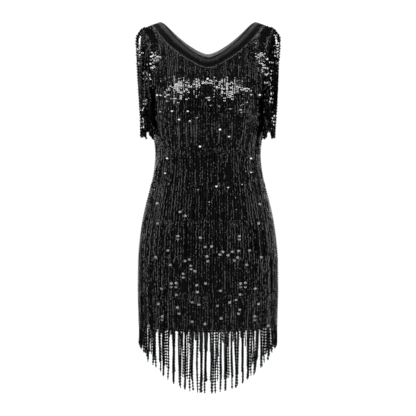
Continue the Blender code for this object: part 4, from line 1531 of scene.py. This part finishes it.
SOFTBOXES = [
    Softbox("front_key", KEY_PLACE, (0.0, -0.11, -0.18), 2.0, 0.40, 23.0),
    *softbox_pair("front_strip", (1.5, -2.5, 0.1), (0.0, 0.0, -0.45), 0.36, 1.2, 4.2),
    *softbox_pair("side_strip", (2.5, -1.1, 0.5), (0.0, 0.0, -0.30), 0.8, 1.2, 2.6),
    *softbox_pair("side_box", (2.6, 0.6, -0.2), (0.0, 0.0, -0.45), 1.0, 1.8, 2.0),
    Softbox("back_key", BACK_KEY_PLACE, (0.0, 0.11, -0.18), 2.0, 0.40, 23.0),
    *softbox_pair("back_strip", (1.5, 2.5, 0.1), (0.0, 0.0, -0.45), 0.36, 1.2, 4.2),
]

# Far round lamps that keep the floor evenly white: direction in degrees, size in degrees, strength
FarLamp = namedtuple("FarLamp", "name azimuth elevation size strength")
FAR_LAMPS = [
    FarLamp("high_lamp_left", -90, 60, 30, 1.8),
    FarLamp("high_lamp_right", 90, 60, 30, 1.8),
]


def add_lamp(scene, light, location, aim):
    lamp = bpy.data.objects.new(light.name, light)
    lamp.location = location
    lamp.rotation_euler = aim.to_track_quat("-Z", "Y").to_euler()
    scene.collection.objects.link(lamp)


class DRESS_OT_studio(bpy.types.Operator):
    """Set up the pale floor, the soft lights and the camera"""

    bl_idname = "dress.studio"
    bl_label = "Studio"

    def execute(self, context):
        scene = context.scene
        scene.view_settings.view_transform = "Standard"
        turns = 2 * pi * np.arange(96) / 96
        rim = FLOOR_RADIUS * np.stack([np.cos(turns), np.sin(turns)], axis=-1)
        floor_shape = Shape()
        floor_shape.add(np.column_stack([rim, np.full(96, FLOOR_Z)]), [list(range(96))])
        paint = painted_studio_floor(scene.dress_colours.floor)
        floor = floor_shape.build("studio_floor", [paint], closed=False)

        world = scene.world or bpy.data.worlds.new("studio")
        scene.world = world
        world.use_nodes = True
        tree = world.node_tree
        seen = add_node(tree, "ShaderNodeLightPath").outputs["Is Camera Ray"]
        strength = add_node(
            tree, "ShaderNodeMapRange", {"Value": seen, "To Min": ROOM_STRENGTH, "To Max": BACKDROP_STRENGTH}
        )
        background = tree.nodes["Background"]
        background.inputs["Color"].default_value = (1.0, 1.0, 1.0, 1.0)
        tree.links.new(strength.outputs["Result"], background.inputs["Strength"])

        for box in SOFTBOXES:
            light = bpy.data.lights.new(box.name, "AREA")
            light.shape = "RECTANGLE"
            light.size, light.size_y = box.width, box.height
            light.energy = box.radiance * pi * box.width * box.height
            aim = Vector(box.target) - Vector(box.place)
            add_lamp(scene, light, box.place, aim)
        for lamp in FAR_LAMPS:
            light = bpy.data.lights.new(lamp.name, "SUN")
            light.energy, light.angle = lamp.strength, radians(lamp.size)
            azimuth, elevation = radians(lamp.azimuth), radians(lamp.elevation)
            aim = Vector((-sin(azimuth) * cos(elevation), cos(azimuth) * cos(elevation), -sin(elevation)))
            add_lamp(scene, light, -2 * aim, aim)

        lens = bpy.data.cameras.new("camera")
        lens.sensor_width = SENSOR
        lens.lens = SENSOR * -CAMERA_PLACE[1] / VIEW_WIDTH
        lens.clip_end = 200
        camera = bpy.data.objects.new("camera", lens)
        camera.location = CAMERA_PLACE
        camera.rotation_euler = (pi / 2, 0.0, 0.0)
        scene.collection.objects.link(camera)
        scene.camera = camera
        return {"FINISHED"}


class DRESS_PT_panel(bpy.types.Panel):
    """Steps and settings of the dress"""

    bl_idname = "DRESS_PT_panel"
    bl_label = "Sequin string dress"
    bl_space_type = "VIEW_3D"
    bl_region_type = "UI"
    bl_category = "Dress"

    def draw(self, context):
        layout = self.layout
        for operator in OPERATORS:
            layout.operator(operator.bl_idname)
        for group in (context.scene.dress_sizes, context.scene.dress_colours):
            for name in group.__annotations__:
                layout.prop(group, name)


OPERATORS = (
    DRESS_OT_studio,
    DRESS_OT_cloth,
    DRESS_OT_neck_trims,
    DRESS_OT_body_strings,
    DRESS_OT_yoke_sequins,
    DRESS_OT_sleeve_fringe,
    DRESS_OT_hem_fringe,
    DRESS_OT_paillettes,
)
CLASSES = (DressSizes, DressColours, *OPERATORS, DRESS_PT_panel)


def register():
    for cls in CLASSES:
        bpy.utils.register_class(cls)
    bpy.types.Scene.dress_sizes = bpy.props.PointerProperty(type=DressSizes)
    bpy.types.Scene.dress_colours = bpy.props.PointerProperty(type=DressColours)


def unregister():
    del bpy.types.Scene.dress_sizes
    del bpy.types.Scene.dress_colours
    for cls in reversed(CLASSES):
        bpy.utils.unregister_class(cls)


def main():
    register()
    bpy.ops.dress.studio()
    bpy.ops.dress.cloth()
    bpy.ops.dress.neck_trims()
    bpy.ops.dress.body_strings()
    bpy.ops.dress.yoke_sequins()
    bpy.ops.dress.sleeve_fringe()
    bpy.ops.dress.hem_fringe()
    bpy.ops.dress.paillettes()


if __name__ == "__main__":
    main()
